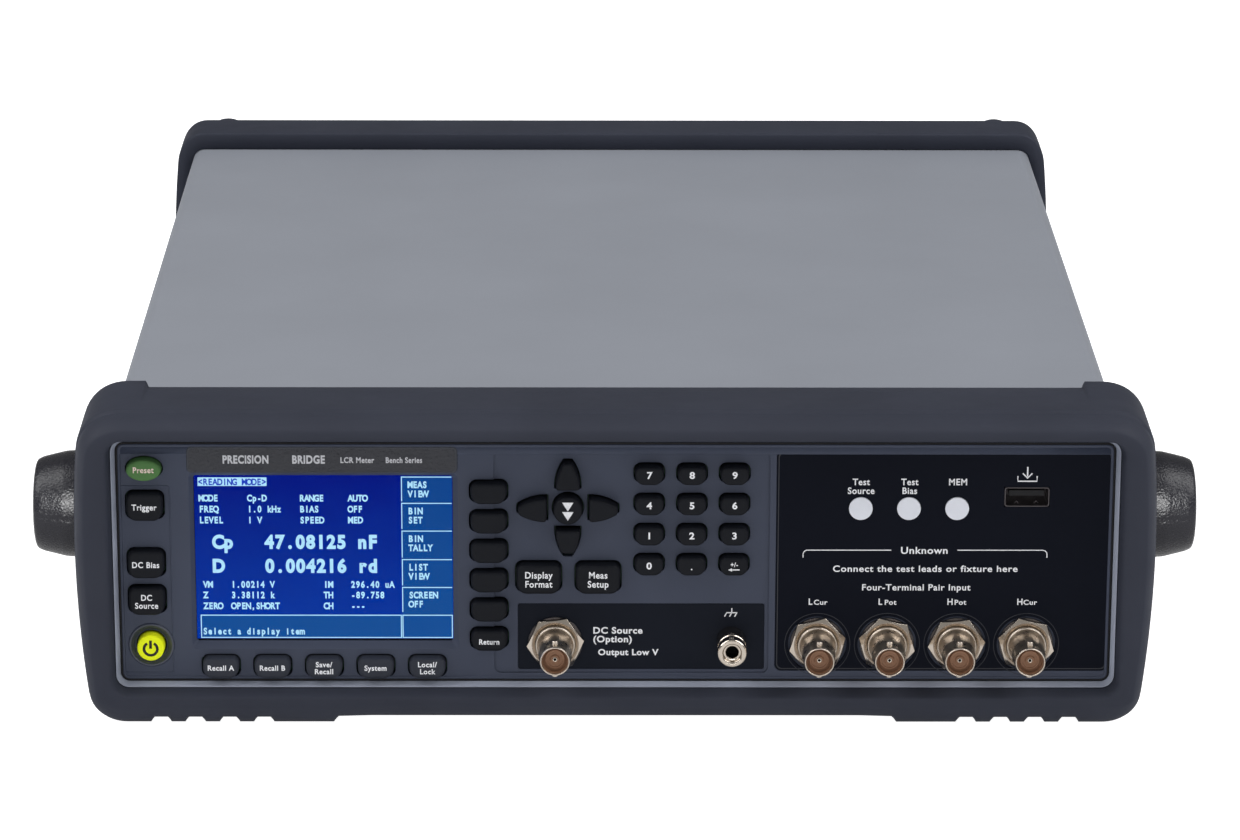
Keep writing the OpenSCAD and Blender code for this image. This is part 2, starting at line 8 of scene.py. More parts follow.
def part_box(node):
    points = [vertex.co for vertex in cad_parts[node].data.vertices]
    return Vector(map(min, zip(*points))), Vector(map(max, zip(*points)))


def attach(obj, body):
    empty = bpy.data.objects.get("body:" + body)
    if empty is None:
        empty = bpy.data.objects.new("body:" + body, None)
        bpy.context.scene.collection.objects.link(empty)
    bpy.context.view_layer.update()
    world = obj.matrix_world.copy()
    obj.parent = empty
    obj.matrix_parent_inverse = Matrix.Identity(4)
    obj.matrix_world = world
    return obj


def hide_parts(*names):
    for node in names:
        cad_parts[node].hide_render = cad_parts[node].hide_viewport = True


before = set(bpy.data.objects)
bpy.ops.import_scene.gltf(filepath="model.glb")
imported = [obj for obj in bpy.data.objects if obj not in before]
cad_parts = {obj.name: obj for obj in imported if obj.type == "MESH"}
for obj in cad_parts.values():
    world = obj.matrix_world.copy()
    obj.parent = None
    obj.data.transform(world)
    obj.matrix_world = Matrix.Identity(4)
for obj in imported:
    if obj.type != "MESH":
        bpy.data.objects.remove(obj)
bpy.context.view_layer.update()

MM = 0.001


def mm_box(node):
    """A CAD node's lowest and highest corners in millimetres."""
    return [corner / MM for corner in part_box(node)]


PANEL_Y = mm_box("front_panel")[0].y
PLATE_Y = mm_box("terminal_plate")[0].y
TEST_X, TEST_Z, TEST_PITCH = 63.8, 27.7, 22.0  # first of the four test terminals
PIVOT_Y, PIVOT_Z = -132.5, 58.0  # the axis that the handle turns on


# ---------------------------------------------------------------- materials

class Shader:
    """A Principled material with helpers that add small node chains to it."""

    def __init__(self, name, color, rough, metal=0.0, spec=0.5):
        self.mat = bpy.data.materials.new(name)
        self.mat.use_nodes = True
        self.nodes = self.mat.node_tree.nodes
        self.links = self.mat.node_tree.links
        self.bsdf = self.nodes["Principled BSDF"]
        self.color = (*color, 1.0)
        self.rough = rough
        self.put("Base Color", self.color)
        self.put("Roughness", rough)
        self.put("Metallic", metal)
        self.put("Specular IOR Level", spec)
        self.coords = self.add("ShaderNodeTexCoord").outputs["Object"]

    def put(self, socket, value):
        self.bsdf.inputs[socket].default_value = value

    def add(self, kind, **settings):
        node = self.nodes.new(kind)
        for key, value in settings.items():
            setattr(node, key, value)
        return node

    def join(self, source, target):
        self.links.new(source, target)

    def noise(self, size_mm, detail=3.0, stretch=(1, 1, 1)):
        """Noise whose features are about size_mm across, as a 0 to 1 value."""
        mapping = self.add("ShaderNodeMapping")
        mapping.inputs["Scale"].default_value = stretch
        self.join(self.coords, mapping.inputs["Vector"])
        tex = self.add("ShaderNodeTexNoise")
        tex.inputs["Scale"].default_value = 1000.0 / size_mm
        tex.inputs["Detail"].default_value = detail
        self.join(mapping.outputs["Vector"], tex.inputs["Vector"])
        return tex.outputs["Fac"]

    def remap(self, value, source, target=(0.0, 1.0)):
        """Maps a value from one (start, end) range on to another, clamped at the ends."""
        node = self.add("ShaderNodeMapRange")
        names = ("From Min", "From Max", "To Min", "To Max")
        for name, number in zip(names, (*source, *target)):
            node.inputs[name].default_value = number
        self.join(value, node.inputs["Value"])
        return node.outputs["Result"]

    def spread(self, value, low, high):
        """Maps noise, which stays near its middle, on to low to high."""
        return self.remap(value, (0.25, 0.75), (low, high))

    def maths(self, operation, *values):
        """A Math node on sockets and plain numbers."""
        node = self.add("ShaderNodeMath", operation=operation)
        self.feed(zip(node.inputs, values))
        return node.outputs["Value"]

    def mix(self, share, first, second):
        """A mix of two colours, each a socket or an RGBA value."""
        node = self.add("ShaderNodeMix", data_type="RGBA")
        self.feed([(node.inputs["Factor"], share), (node.inputs[6], first), (node.inputs[7], second)])
        return node.outputs[2]

    def feed(self, pairs):
        """Gives each input its value, or joins it where the value is a socket."""
        for target, value in pairs:
            if isinstance(value, bpy.types.NodeSocket):
                self.join(value, target)
            else:
                target.default_value = value

    def mottle(self, size_mm, amount):
        """Lightens and darkens the colour in soft patches."""
        shade = self.spread(self.noise(size_mm, 4), 1 - amount, 1 + amount)
        mix = self.add("ShaderNodeVectorMath", operation="SCALE")
        mix.inputs[0].default_value = self.color[:3]
        self.join(shade, mix.inputs["Scale"])
        self.tint = mix.outputs["Vector"]
        self.join(self.tint, self.bsdf.inputs["Base Color"])
        return self

    def smears(self, size_mm, amount):
        """Varies the roughness, as handling does."""
        lo, hi = self.rough - amount, self.rough + amount
        self.join(self.spread(self.noise(size_mm, 5), lo, hi), self.bsdf.inputs["Roughness"])
        return self

    def grain(self, size_mm, depth_mm, bevel_mm=0.0, stretch=(1, 1, 1), detail=3.0):
        """Surface texture as bump, over an optional softening of hard edges."""
        bump = self.add("ShaderNodeBump")
        bump.inputs["Distance"].default_value = depth_mm * MM
        bump.inputs["Strength"].default_value = 1.0
        self.join(self.noise(size_mm, detail, stretch), bump.inputs["Height"])
        if bevel_mm:
            bevel = self.add("ShaderNodeBevel", samples=4)
            bevel.inputs["Radius"].default_value = bevel_mm * MM
            self.join(bevel.outputs["Normal"], bump.inputs["Normal"])
            self.edge_normal = bevel.outputs["Normal"]
        self.join(bump.outputs["Normal"], self.bsdf.inputs["Normal"])
        return self

    def worn_edges(self, color, amount):
        """Lightens edges, broken up by noise. Needs grain() with a bevel and mottle() first."""
        geometry = self.add("ShaderNodeNewGeometry")
        dot = self.add("ShaderNodeVectorMath", operation="DOT_PRODUCT")
        self.join(self.edge_normal, dot.inputs[0])
        self.join(geometry.outputs["Normal"], dot.inputs[1])
        edge = self.remap(dot.outputs["Value"], (0.995, 0.9))
        worn = self.maths("MULTIPLY", edge, self.spread(self.noise(6, 4), 0.0, amount))
        self.join(self.mix(worn, self.tint, (*color, 1.0)), self.bsdf.inputs["Base Color"])
        return self


def srgb(r, g, b):
    """A linear colour from 0 to 255 screen values."""
    return tuple(((v / 255 + 0.055) / 1.055) ** 2.4 if v > 10 else v / 255 / 12.92 for v in (r, g, b))


def rubber(name, color, rough=0.62, grain_mm=0.45, depth_mm=0.05, spec=0.16):
    s = Shader(name, color, rough, spec=spec)
    s.mottle(38, 0.09).smears(12, 0.07).grain(grain_mm, depth_mm, 0.25)
    s.worn_edges(tuple(1.4 * c + 0.006 for c in color), 0.5)
    return s.mat


def painted(name, color, rough=0.5, depth_mm=0.05):
    """Powder paint: a fine orange-peel over sheet metal."""
    s = Shader(name, color, rough, spec=0.4)
    s.mottle(70, 0.035).smears(25, 0.05).grain(0.9, depth_mm, 0.3, detail=4)
    s.worn_edges(tuple(1.25 * c for c in color), 0.45)
    return s.mat


def moulded(name, color, rough=0.52, grain_mm=0.5, depth_mm=0.03, bevel_mm=0.22, edge=1.5, spec=0.25):
    s = Shader(name, color, rough, spec=spec)
    s.mottle(30, 0.06).smears(9, 0.06).grain(grain_mm, depth_mm, bevel_mm)
    s.worn_edges(tuple(edge * c + 0.004 for c in color), 0.6)
    return s.mat


def metal(name, color, rough=0.2, stretch=(1, 6, 1), depth_mm=0.006):
    """Plated metal with fine turning marks."""
    s = Shader(name, color, rough, metal=1.0)
    s.mottle(7, 0.08).smears(2.5, 0.07).grain(0.35, depth_mm, 0.12, stretch)
    return s.mat


def sparkle_plastic():
    """Coarse-grained black moulding whose raised grain glints."""
    s = Shader("handle_plastic", srgb(20, 20, 25), 0.27, spec=0.36)
    s.mottle(20, 0.1).smears(0.8, 0.12).grain(0.62, 0.17, 0.3, detail=1)
    s.worn_edges(srgb(60, 60, 66), 0.4)
    return s.mat


def glowing(name, high, low):
    """A lit screen area: one colour at its top, drifting to another at its foot."""
    s = Shader(name, (0, 0, 0), 0.4, spec=0.0)
    place = s.add("ShaderNodeSeparateXYZ")
    s.join(s.coords, place.inputs["Vector"])
    fall = s.remap(place.outputs["Z"], (0.084, 0.03))
    uneven = 0.3
    wobble = s.maths("MULTIPLY_ADD", s.noise(7, 3), uneven, fall)
    share = s.maths("SUBTRACT", wobble, uneven / 2)
    s.join(s.mix(share, (*high, 1), (*low, 1)), s.bsdf.inputs["Emission Color"])
    s.put("Emission Strength", 1.0)
    return s.mat


def lit(name, color, strength):
    s = Shader(name, (0.01, 0.01, 0.01), 0.5, spec=0.0)
    shade = s.spread(s.noise(3, 2), 0.9 * strength, 1.05 * strength)
    s.join(shade, s.bsdf.inputs["Emission Strength"])
    s.put("Emission Color", (*color, 1))
    return s.mat


def pane():
    """Clear cover over the display: see-through, with a soft reflection."""
    s = Shader("window_glass", (1, 1, 1), 0.12)
    clear = s.add("ShaderNodeBsdfTransparent")
    gloss = s.add("ShaderNodeBsdfGlossy")
    s.join(s.spread(s.noise(14, 4), 0.08, 0.16), gloss.inputs["Roughness"])
    fresnel = s.add("ShaderNodeFresnel")
    fresnel.inputs["IOR"].default_value = 1.35
    coated = s.maths("MULTIPLY", fresnel.outputs["Fac"], 0.1)
    mix = s.add("ShaderNodeMixShader")
    s.feed(zip(mix.inputs, (coated, clear.outputs["BSDF"], gloss.outputs["BSDF"])))
    s.join(mix.outputs["Shader"], s.nodes["Material Output"].inputs["Surface"])
    return s.mat


def ink(name, color):
    s = Shader(name, color, 0.5)
    s.mottle(1.5, 0.05).smears(2, 0.05).grain(0.3, 0.004)
    return s.mat


def board():
    """Solder mask with a hint of tracks under it."""
    s = Shader("board", srgb(30, 84, 52), 0.35)
    s.mottle(4, 0.25).smears(6, 0.08).grain(1.2, 0.03, 0.1, (1, 6, 1))
    return s.mat


BUMPER = rubber("bumper_rubber", srgb(52, 55, 66))
COVER = painted("cover_paint", srgb(141, 145, 154))
REAR = painted("rear_paint", srgb(141, 145, 154))
STEEL = metal("sheet_steel", srgb(190, 192, 196), 0.34, (1, 1, 8))
PANEL = moulded("panel_plastic", srgb(64, 70, 87))
GLOSS_PANEL = moulded("panel_gloss", srgb(58, 63, 78), 0.24, 0.5, 0.01, spec=0.6)
# Bead plastic: its pale colour is a painted highlight for the grazing light that the bead catches.
RIM_PAINTED_HIGHLIGHT = moulded("rim_painted_highlight", srgb(156, 162, 178), 0.4, 0.5, 0.015)
PLATE = moulded("plate_film", srgb(15, 18, 28), 0.42, 0.7, 0.006, spec=0.05)
INLAY = moulded("inlay_film", srgb(21, 25, 35), 0.45, 0.4, 0.02, spec=0.08)
BADGE = moulded("badge_texture", srgb(42, 44, 52), 0.38, 0.8, 0.6, spec=0.5)
KEY = rubber("key_rubber", srgb(19, 21, 27), 0.5, 0.25, 0.02, 0.14)
# A lighter copy of the key rubber: painted highlight for the faces of the lower row's caps.
KEY_PAINTED_HIGHLIGHT = rubber("key_rubber_painted_highlight", srgb(52, 55, 64), 0.5, 0.25, 0.02, 0.14)
PRESET = rubber("preset_green", srgb(78, 117, 68), 0.55, 0.25, 0.03)
POWER = rubber("power_yellow", srgb(240, 251, 24), 0.4, 0.3, 0.01)
NICKEL = metal("nickel", srgb(206, 195, 182), 0.15)
SLEEVE = metal("sleeve_nickel", srgb(206, 195, 182), 0.3)
NUT_FACE = metal("nut_face", srgb(150, 136, 122), 0.26)
DARK_NICKEL = metal("dark_nickel", srgb(84, 80, 80), 0.3)
SOCKET_STEEL = metal("socket_steel", srgb(96, 92, 94), 0.35)
TAN = moulded("insulator_tan", srgb(146, 110, 86), 0.5, 0.4, 0.03)
LAMP = moulded("lamp_lens", srgb(228, 231, 240), 0.4, 0.4, 0.004, edge=1.1)
BLACK = moulded("black_plastic", srgb(22, 22, 25), 0.5)
HANDLE = sparkle_plastic()
ZINC = metal("zinc", srgb(172, 174, 178), 0.3)
BOARD = board()
WHITE = ink("legend_white", srgb(240, 241, 245))
CREAM = ink("legend_cream", srgb(226, 206, 194))
DARK = ink("legend_dark", srgb(2, 2, 2))
GREY_INK = ink("line_grey", srgb(205, 206, 212))
FINE_LINE = ink("line_dim", srgb(50, 54, 64))
FAINT_LINE = ink("line_faint", srgb(28, 31, 40))
PANE = pane()
SCREEN = glowing("screen_blue", srgb(1, 18, 128), srgb(6, 54, 160))
SCREEN_BAR = glowing("screen_bar", srgb(10, 66, 140), srgb(20, 78, 150))
SCREEN_INK = lit("screen_ink", srgb(176, 228, 255), 1.0)
SCREEN_DARK = lit("screen_title", srgb(16, 60, 190), 1.0)


# ---------------------------------------------------------------- mesh tools

def finish_piece(bm, name, mats, cad=(), body="root", smooth=True):
    """Turns a bmesh in millimetres into a named piece that rides on a CAD body and stands in
    for the CAD nodes given."""
    bmesh.ops.scale(bm, vec=(MM, MM, MM), verts=bm.verts)
    bmesh.ops.recalc_face_normals(bm, faces=bm.faces)
    mesh = bpy.data.meshes.new(name)
    for f in bm.faces:
        f.smooth = smooth
    bm.to_mesh(mesh)
    bm.free()
    for m in mats:
        mesh.materials.append(m)
    obj = bpy.data.objects.new(name, mesh)
    bpy.context.scene.collection.objects.link(obj)
    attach(obj, body)
    if cad:
        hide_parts(*cad)
    return obj


def skin(bm, rings, closed=False, mat=0):
    """Joins closed rings of equal length with quads. Closed joins the last ring to the first;
    otherwise the two end rings are filled."""
    verts = [[bm.verts.new(p) for p in ring] for ring in rings]
    n = len(verts[0])
    pairs = list(zip(verts, verts[1:]))
    if closed:
        pairs.append((verts[-1], verts[0]))
    for a, b in pairs:
        for i in range(n):
            j = (i + 1) % n
            bm.faces.new((a[i], a[j], b[j], b[i])).material_index = mat
    if not closed:
        bm.faces.new(verts[0][::-1]).material_index = mat
        bm.faces.new(verts[-1]).material_index = mat


def arc(cx, cz, r, start, end, steps=10):
    """Points [x, z] on a circle from one angle to another, in degrees."""
    angles = [math.radians(start + (end - start) * k / steps) for k in range(steps + 1)]
    return [(cx + r * math.cos(a), cz + r * math.sin(a)) for a in angles]


def box_loop(w, h, radius, cx=0.0, cz=0.0, steps=6, r_low=None):
    """Points [x, z] of a rounded rectangle, anticlockwise from its lower right corner.
    Its lower corners can have their own radius."""
    points = []
    for sx, sz, start in [(1, -1, -90), (1, 1, 0), (-1, 1, 90), (-1, -1, 180)]:
        asked = r_low if r_low and sz < 0 else radius
        r = max(min(asked, w / 2 - 0.01, h / 2 - 0.01), 0.01)
        points += arc(cx + sx * (w / 2 - r), cz + sz * (h / 2 - r), r, start, start + 90, steps)
    return points


def oval_loop(w, h, cx, cz, steps=48):
    return [(cx + w / 2 * math.cos(t), cz + h / 2 * math.sin(t))
            for t in (2 * math.pi * k / steps for k in range(steps))]


def at_y(loop, y):
    return [(x, y, z) for x, z in loop]


def slab(bm, loop_of, y0, y1, edge=0.0, mat=0):
    """A plate from y0 (front) to y1 whose front edge is rounded; loop_of(inset) gives its outline."""
    rings = []
    if edge:
        rings.append(at_y(loop_of(edge * 1.6), y0))
        for k in range(5):
            a = math.radians(90 * k / 4)
            rings.append(at_y(loop_of(edge * (1 - math.sin(a))), y0 + edge * (1 - math.cos(a))))
    else:
        rings.append(at_y(loop_of(0), y0))
    rings.append(at_y(loop_of(0), y1))
    skin(bm, rings, mat=mat)


def round_profile(points, radius, steps=3):
    """Rounds the corners of a closed loop of (a, b) points."""
    out = []
    for i, p in enumerate(points):
        before, here, after = Vector(points[i - 1]), Vector(p), Vector(points[(i + 1) % len(points)])
        cut = min(radius, (before - here).length * 0.45, (after - here).length * 0.45)
        a = here + (before - here).normalized() * cut
        b = here + (after - here).normalized() * cut
        for k in range(steps + 1):
            t = k / steps
            out.append(tuple((1 - t) ** 2 * a + 2 * t * (1 - t) * here + t * t * b))
    return out


def lathe(bm, profile, place, segments=72, mat=0):
    """Revolves a closed loop of (radius, along); place(radius, angle, along) gives a 3D point."""
    rings = [[place(r, 2 * math.pi * k / segments, a) for k in range(segments)] for r, a in profile]
    skin(bm, rings, closed=True, mat=mat)


def turn_y(bm, profile, x, z, soft, segments=72, mat=0):
    """A turned part about an axis along y: (radius, y) points whose corners are softened."""
    smooth = round_profile(profile, soft) if soft else profile
    lathe(bm, smooth, lambda r, t, a: (x + r * math.cos(t), a, z + r * math.sin(t)), segments, mat)


_glyphs = {}


def glyph(text, size, weight, depth):
    """A text as a mesh facing -y, centred on x and resting on z = 0, cached."""
    key = (text, size, weight, depth)
    if key not in _glyphs:
        curve = bpy.data.curves.new("letters", "FONT")
        curve.body = text
        curve.size = size
        curve.offset = weight
        curve.space_character = 1.1
        curve.extrude = depth / 2
        curve.align_x = "CENTER"
        curve.resolution_u = 4
        obj = bpy.data.objects.new("letters", curve)
        bpy.context.scene.collection.objects.link(obj)
        graph = bpy.context.evaluated_depsgraph_get()
        mesh = bpy.data.meshes.new_from_object(obj.evaluated_get(graph))
        mesh.transform(Matrix.Rotation(math.radians(90), 4, "X"))
        bpy.data.objects.remove(obj)
        _glyphs[key] = mesh
    return _glyphs[key]


def write(bm, text, x, z, y, height, mat=0, weight=0.0, depth=0.06, squeeze=0.92):
    """Adds a line of text whose capitals are height tall, centred at x, with its middle at z."""
    mesh = glyph(text, height / 0.72, weight, depth)
    old = len(bm.verts)
    faces = len(bm.faces)
    bm.from_mesh(mesh)
    bm.verts.ensure_lookup_table()
    bm.faces.ensure_lookup_table()
    for v in bm.verts[old:]:
        v.co = Vector((v.co.x * squeeze + x, v.co.y + y, v.co.z + z - height / 2))
    for f in bm.faces[faces:]:
        f.material_index = mat


def type_out(bm, text, x, z, y, height, pitch, mat=0, weight=0.0, squeeze=0.8):
    """Writes text in fixed-width cells, the first cell starting at x."""
    for i, letter in enumerate(text):
        if letter != " ":
            write(bm, letter, x + (i + 0.5) * pitch, z, y, height, mat, weight, squeeze=squeeze)


def border(bm, size, centre, radius, y, profile, mat=0, shrink=0.0, steps=6):
    """A closed moulding round a rectangle. Profile points are (inset, y from its face); shrink
    is how much of the inset comes off the corner radius."""
    rings = [at_y(box_loop(size[0] - 2 * i, size[1] - 2 * i, radius - shrink * i, *centre, steps), y + dy)
             for i, dy in profile]
    skin(bm, rings, closed=True, mat=mat)


def bar(bm, x0, x1, z0, z1, y0, y1, mat=0):
    """A thin closed rectangle."""
    slab(bm, lambda g: [(x1, z0), (x1, z1), (x0, z1), (x0, z0)], y0, y1, mat=mat)


# ---------------------------------------------------------------- bumpers

BOW_R = 400.0  # radius of the bowed sides
# The bead round the panel is pale as a painted highlight.
TRIM_W, TRIM_H, TRIM_Z = 315.5, 82.0, 55.0  # the light bead round the panel, and its middle
TOP_PAD_X = 148.6  # inner end of the raised corner pads
STRIP = 1.1  # depth of the sunk strip between the pads
FOOT_IN = 88.7  # inner end of each ribbed front foot
NOTCH_X, NOTCH_STEP, NOTCH_W, NOTCHES = 108.9, 10.9, 5.5, 4
REAR_FOOT_X, REAR_FOOT_ZS = 147, (13.5, 95.5)


def step(x, lo, hi):
    """0 below lo, 1 above hi, smooth in between."""
    t = min(max((x - lo) / (hi - lo), 0.0), 1.0)
    return t * t * (3 - 2 * t)


def corner_curve(p0, c0, c1, p1, steps):
    """A cubic from p0 to p1, without its last point."""
    out = []
    for k in range(steps):
        t = k / steps
        out.append(tuple((1 - t) ** 3 * p0[i] + 3 * t * (1 - t) ** 2 * c0[i]
                         + 3 * t * t * (1 - t) * c1[i] + t ** 3 * p1[i] for i in (0, 1)))
    return out


def side_marks(limit, marks, count):
    """Positions from -limit to limit: an even spread plus the given marks on both sides."""
    xs = {round(-limit + 2 * limit * k / count, 4) for k in range(count + 1)}
    xs |= {s * m for m in marks if m < limit for s in (-1, 1)}
    return sorted(xs)


def foot_marks():
    marks = [FOOT_IN - 0.8, FOOT_IN + 0.8]
    for k in range(NOTCHES):
        a = NOTCH_X + k * NOTCH_STEP
        marks += [a - 0.5, a + 0.7, a + NOTCH_W - 0.7, a + NOTCH_W + 0.5]
    return marks


TOP_XS = side_marks(154.4, [TOP_PAD_X - 0.5, TOP_PAD_X - 0.2, TOP_PAD_X + 0.1, TOP_PAD_X + 0.5], 24)
LOW_XS = side_marks(155.0, foot_marks(), 24)
SIDE_STEPS = 18
SIDE_SHARE, TOP_SHARE, CREASE = 0.6, 0.55, 1.05  # how far an inset reaches the sides and top
CORNER_STEPS = 12


class Outline:
    """A closed outline with bowed sides. Every ring from it has the same number of points."""

    def __init__(self, half_w, bow_z, low, top, r_low, r_top, feet=0.0, pads=0.0, arch=0.0):
        self.half_w, self.bow_z = half_w, bow_z
        self.low, self.top, self.r_low, self.r_top = low, top, r_low, r_top
        self.feet, self.pads, self.arch = feet, pads, arch

    def side_x(self, z):
        return self.half_w - BOW_R + math.sqrt(BOW_R ** 2 - (z - self.bow_z) ** 2)

    def low_z(self, x, drop):
        x = abs(x)
        foot = step(x, FOOT_IN - 0.8, FOOT_IN + 0.8)
        for k in range(NOTCHES):
            a = NOTCH_X + k * NOTCH_STEP
            foot *= 1 - step(x, a - 0.5, a + 0.7) * (1 - step(x, a + NOTCH_W - 0.7, a + NOTCH_W + 0.5))
        arch = 1 - step(x, FOOT_IN - 1.6, FOOT_IN)
        return self.low - self.feet * foot * drop + self.arch * arch

    def top_z(self, x, rise, dip):
        pad = step(abs(x), TOP_PAD_X - 0.5, TOP_PAD_X + 0.5)
        return self.top + self.pads * pad * rise - dip * (1 - pad)

    def ring(self, y, inset=0.0, drop=1.0, rise=1.0, dip=0.0):
        """One loop at y, drawn in by inset. Drop and rise scale the feet and the corner pads;
        dip lowers the top edge between the pads."""
        z0, z1 = self.low + self.r_low, self.top - self.r_top
        side = inset * SIDE_SHARE
        x0, x1 = self.side_x(z0) - side, self.side_x(z1) - side
        shrink = (LOW_XS[-1] - inset * 0.3) / LOW_XS[-1]
        low = [(x * shrink, self.low_z(x, drop) + inset) for x in LOW_XS]
        shrink = (TOP_XS[-1] - inset * 0.3) / TOP_XS[-1]
        upper = min(inset, CREASE) + max(inset - CREASE, 0) * TOP_SHARE
        top = [(x * shrink, self.top_z(x, rise, dip) - upper) for x in reversed(TOP_XS)]
        k = 0.58
        (ax, az), (bx, bz) = low[-1], top[0]
        right = corner_curve((ax, az), (ax + k * (x0 - ax), az),
                             (x0 - 0.6, z0 - k * (z0 - az)), (x0, z0), CORNER_STEPS)[1:]
        right += [(self.side_x(z0 + (z1 - z0) * i / SIDE_STEPS) - side, z0 + (z1 - z0) * i / SIDE_STEPS)
                  for i in range(SIDE_STEPS)]
        right += corner_curve((x1, z1), (x1 - 0.5, z1 + k * (bz - z1)),
                              (bx + k * (x1 - bx), bz), (bx, bz), CORNER_STEPS)
        left = [(-x, z) for x, z in reversed(right)]
        return at_y(low + right + top + left, y)


def frame_ring(y, w, h, r, cz):
    """A rounded rectangle with the same point layout as Outline.ring."""
    hw, hh = w / 2 - r, h / 2 - r
    low = [(x / LOW_XS[-1] * hw, cz - h / 2) for x in LOW_XS]
    top = [(x / TOP_XS[-1] * hw, cz + h / 2) for x in reversed(TOP_XS)]
    right = arc(hw, cz - hh, r, -90, 0, CORNER_STEPS)[1:-1]
    right += [(w / 2, cz - hh + 2 * hh * i / SIDE_STEPS) for i in range(SIDE_STEPS)]
    right += arc(hw, cz + hh, r, 0, 90, CORNER_STEPS)[:-1]
    left = [(-x, z) for x, z in reversed(right)]
    return at_y(low + right + top + left, y)


def cover_pocket(y, wide=0.0, tall=0.0, soft=0.0):
    """A ring of the pocket that the cover's edge sits in."""
    return frame_ring(y, 317.7 + wide, 88.3 + tall, 4.6 + soft, 54.5)


def front_bumper():
    shape = Outline(170.3, 60, 1.95, 104, 9.5, 13, feet=1.95, pads=1.0, arch=0.55)
    # Each ring: y, inset, drop, rise and dip, from the rear edge over the strip between the
    # pads, the flat top and the crease to the rounded nose
    outer = [(-150.0, 0.9, 1, 1, STRIP), (-150.15, 0.4, 1, 1, STRIP), (-150.6, 0.1, 1, 1, STRIP),
             (-151.4, 0, 1, 1, STRIP), (-154.6, 0, 1, 1, STRIP), (-155.0, 0, 1, 1, 0.75 * STRIP),
             (-155.4, 0, 1, 1, 0.15), (-155.8, 0, 1, 1, 0), (-160, 0, 1, 0.85, 0),
             (-166, 0, 1, 0.4, 0), (-172, 0, 1, 0.08, 0), (-177.6, 0, 1, 0, 0),
             (-178.6, 0.12, 1, 0, 0), (-179.1, 0.45, 1, 0, 0), (-179.5, 0.85, 1, 0, 0),
             (-180.0, 1.0, 0.95, 0, 0), (-181.2, 1.05, 0.85, 0, 0), (-182.8, 1.35, 0.7, 0, 0),
             (-184.4, 2.0, 0.6, 0, 0), (-185.9, 3.0, 0.5, 0, 0), (-187.2, 4.2, 0.3, 0, 0),
             (-188.3, 5.6, 0.1, 0, 0), (-189.0, 7.0, 0, 0, 0)]
    rings = [shape.ring(y, inset, drop, rise, dip) for y, inset, drop, rise, dip in outer]
    # Over the lip and down the funnel to the panel, then back along the pocket for the cover
    for y, side, low, top in [(-189.35, 2.9, 2.3, 1.3), (-189.3, 2.4, 2.0, 1.05), (-189.0, 1.6, 1.7, 0.75),
                              (-188.3, 1.0, 1.3, 0.45), (-187.2, 0.6, 0.8, 0.2), (-186.2, 0.35, 0.4, 0.05),
                              (-185.4, 0.2, 0.15, 0), (-184.9, 0.15, 0.1, 0), (-181.4, 0.1, 0.1, 0)]:
        rings.append(frame_ring(y, TRIM_W + 2 * side, TRIM_H + low + top, 4.1 + side,
                                TRIM_Z + (top - low) / 2))
    rings.append(frame_ring(-178.8, 316.7, 80.5, 4.3, 54))
    rings += [cover_pocket(-178.6), cover_pocket(-150.7), cover_pocket(-150.0, 0.7, 0.9, 0.4)]
    bm = bmesh.new()
    skin(bm, rings, closed=True)
    finish_piece(bm, "front_bumper_skin", [BUMPER], ["front_bumper"])


def rear_bumper():
    shape = Outline(166.4, 56, 1.4, 105, 12, 12, feet=1.4)
    end = mm_box("rear_bumper")[1].y
    # Each ring: y, inset, drop and rise, from the front edge over the crest to the rear face
    outer = [(173.0, 0.9, 1, 0), (173.1, 0.5, 1, 0), (173.5, 0.15, 1, 0), (174.2, 0, 1, 0),
             (182, 0, 1, 0), (192, 0, 1, 0), (193.8, 0.04, 0.9, 0), (194.5, 0.25, 0.6, 0),
             (194.85, 0.6, 0.2, 0), (195.0, 1.2, 0, 0)]
    rings = [shape.ring(y, inset, drop, rise) for y, inset, drop, rise in outer]
    for y, grow in [(194.9, 1.2), (194.2, 0.3), (192.8, 0)]:
        rings.append(frame_ring(y, 300 + 2 * grow, 76 + 2 * grow, 8 + grow, 54.5))
    rings.append(frame_ring(180.7, 300, 76, 8, 54.5))
    rings += [cover_pocket(180.5), cover_pocket(173.5), cover_pocket(173.0, 0.5, 0.6, 0.4)]
    bm = bmesh.new()
    skin(bm, rings, closed=True)
    for sx in (-1, 1):
        for z in REAR_FOOT_ZS:
            foot = [(0.02, 188), (8.2, 188), (9, 189), (9, end - 0.9), (8.7, end - 0.1), (4.6, end),
                    (4.0, end - 0.3), (3.6, end - 1.7), (3.5, end - 6.5), (0.02, end - 6.5)]
            turn_y(bm, foot, sx * REAR_FOOT_X, z, 0.5, 56)
    finish_piece(bm, "rear_bumper_skin", [BUMPER], ["rear_bumper"])


# ---------------------------------------------------------------- front panel

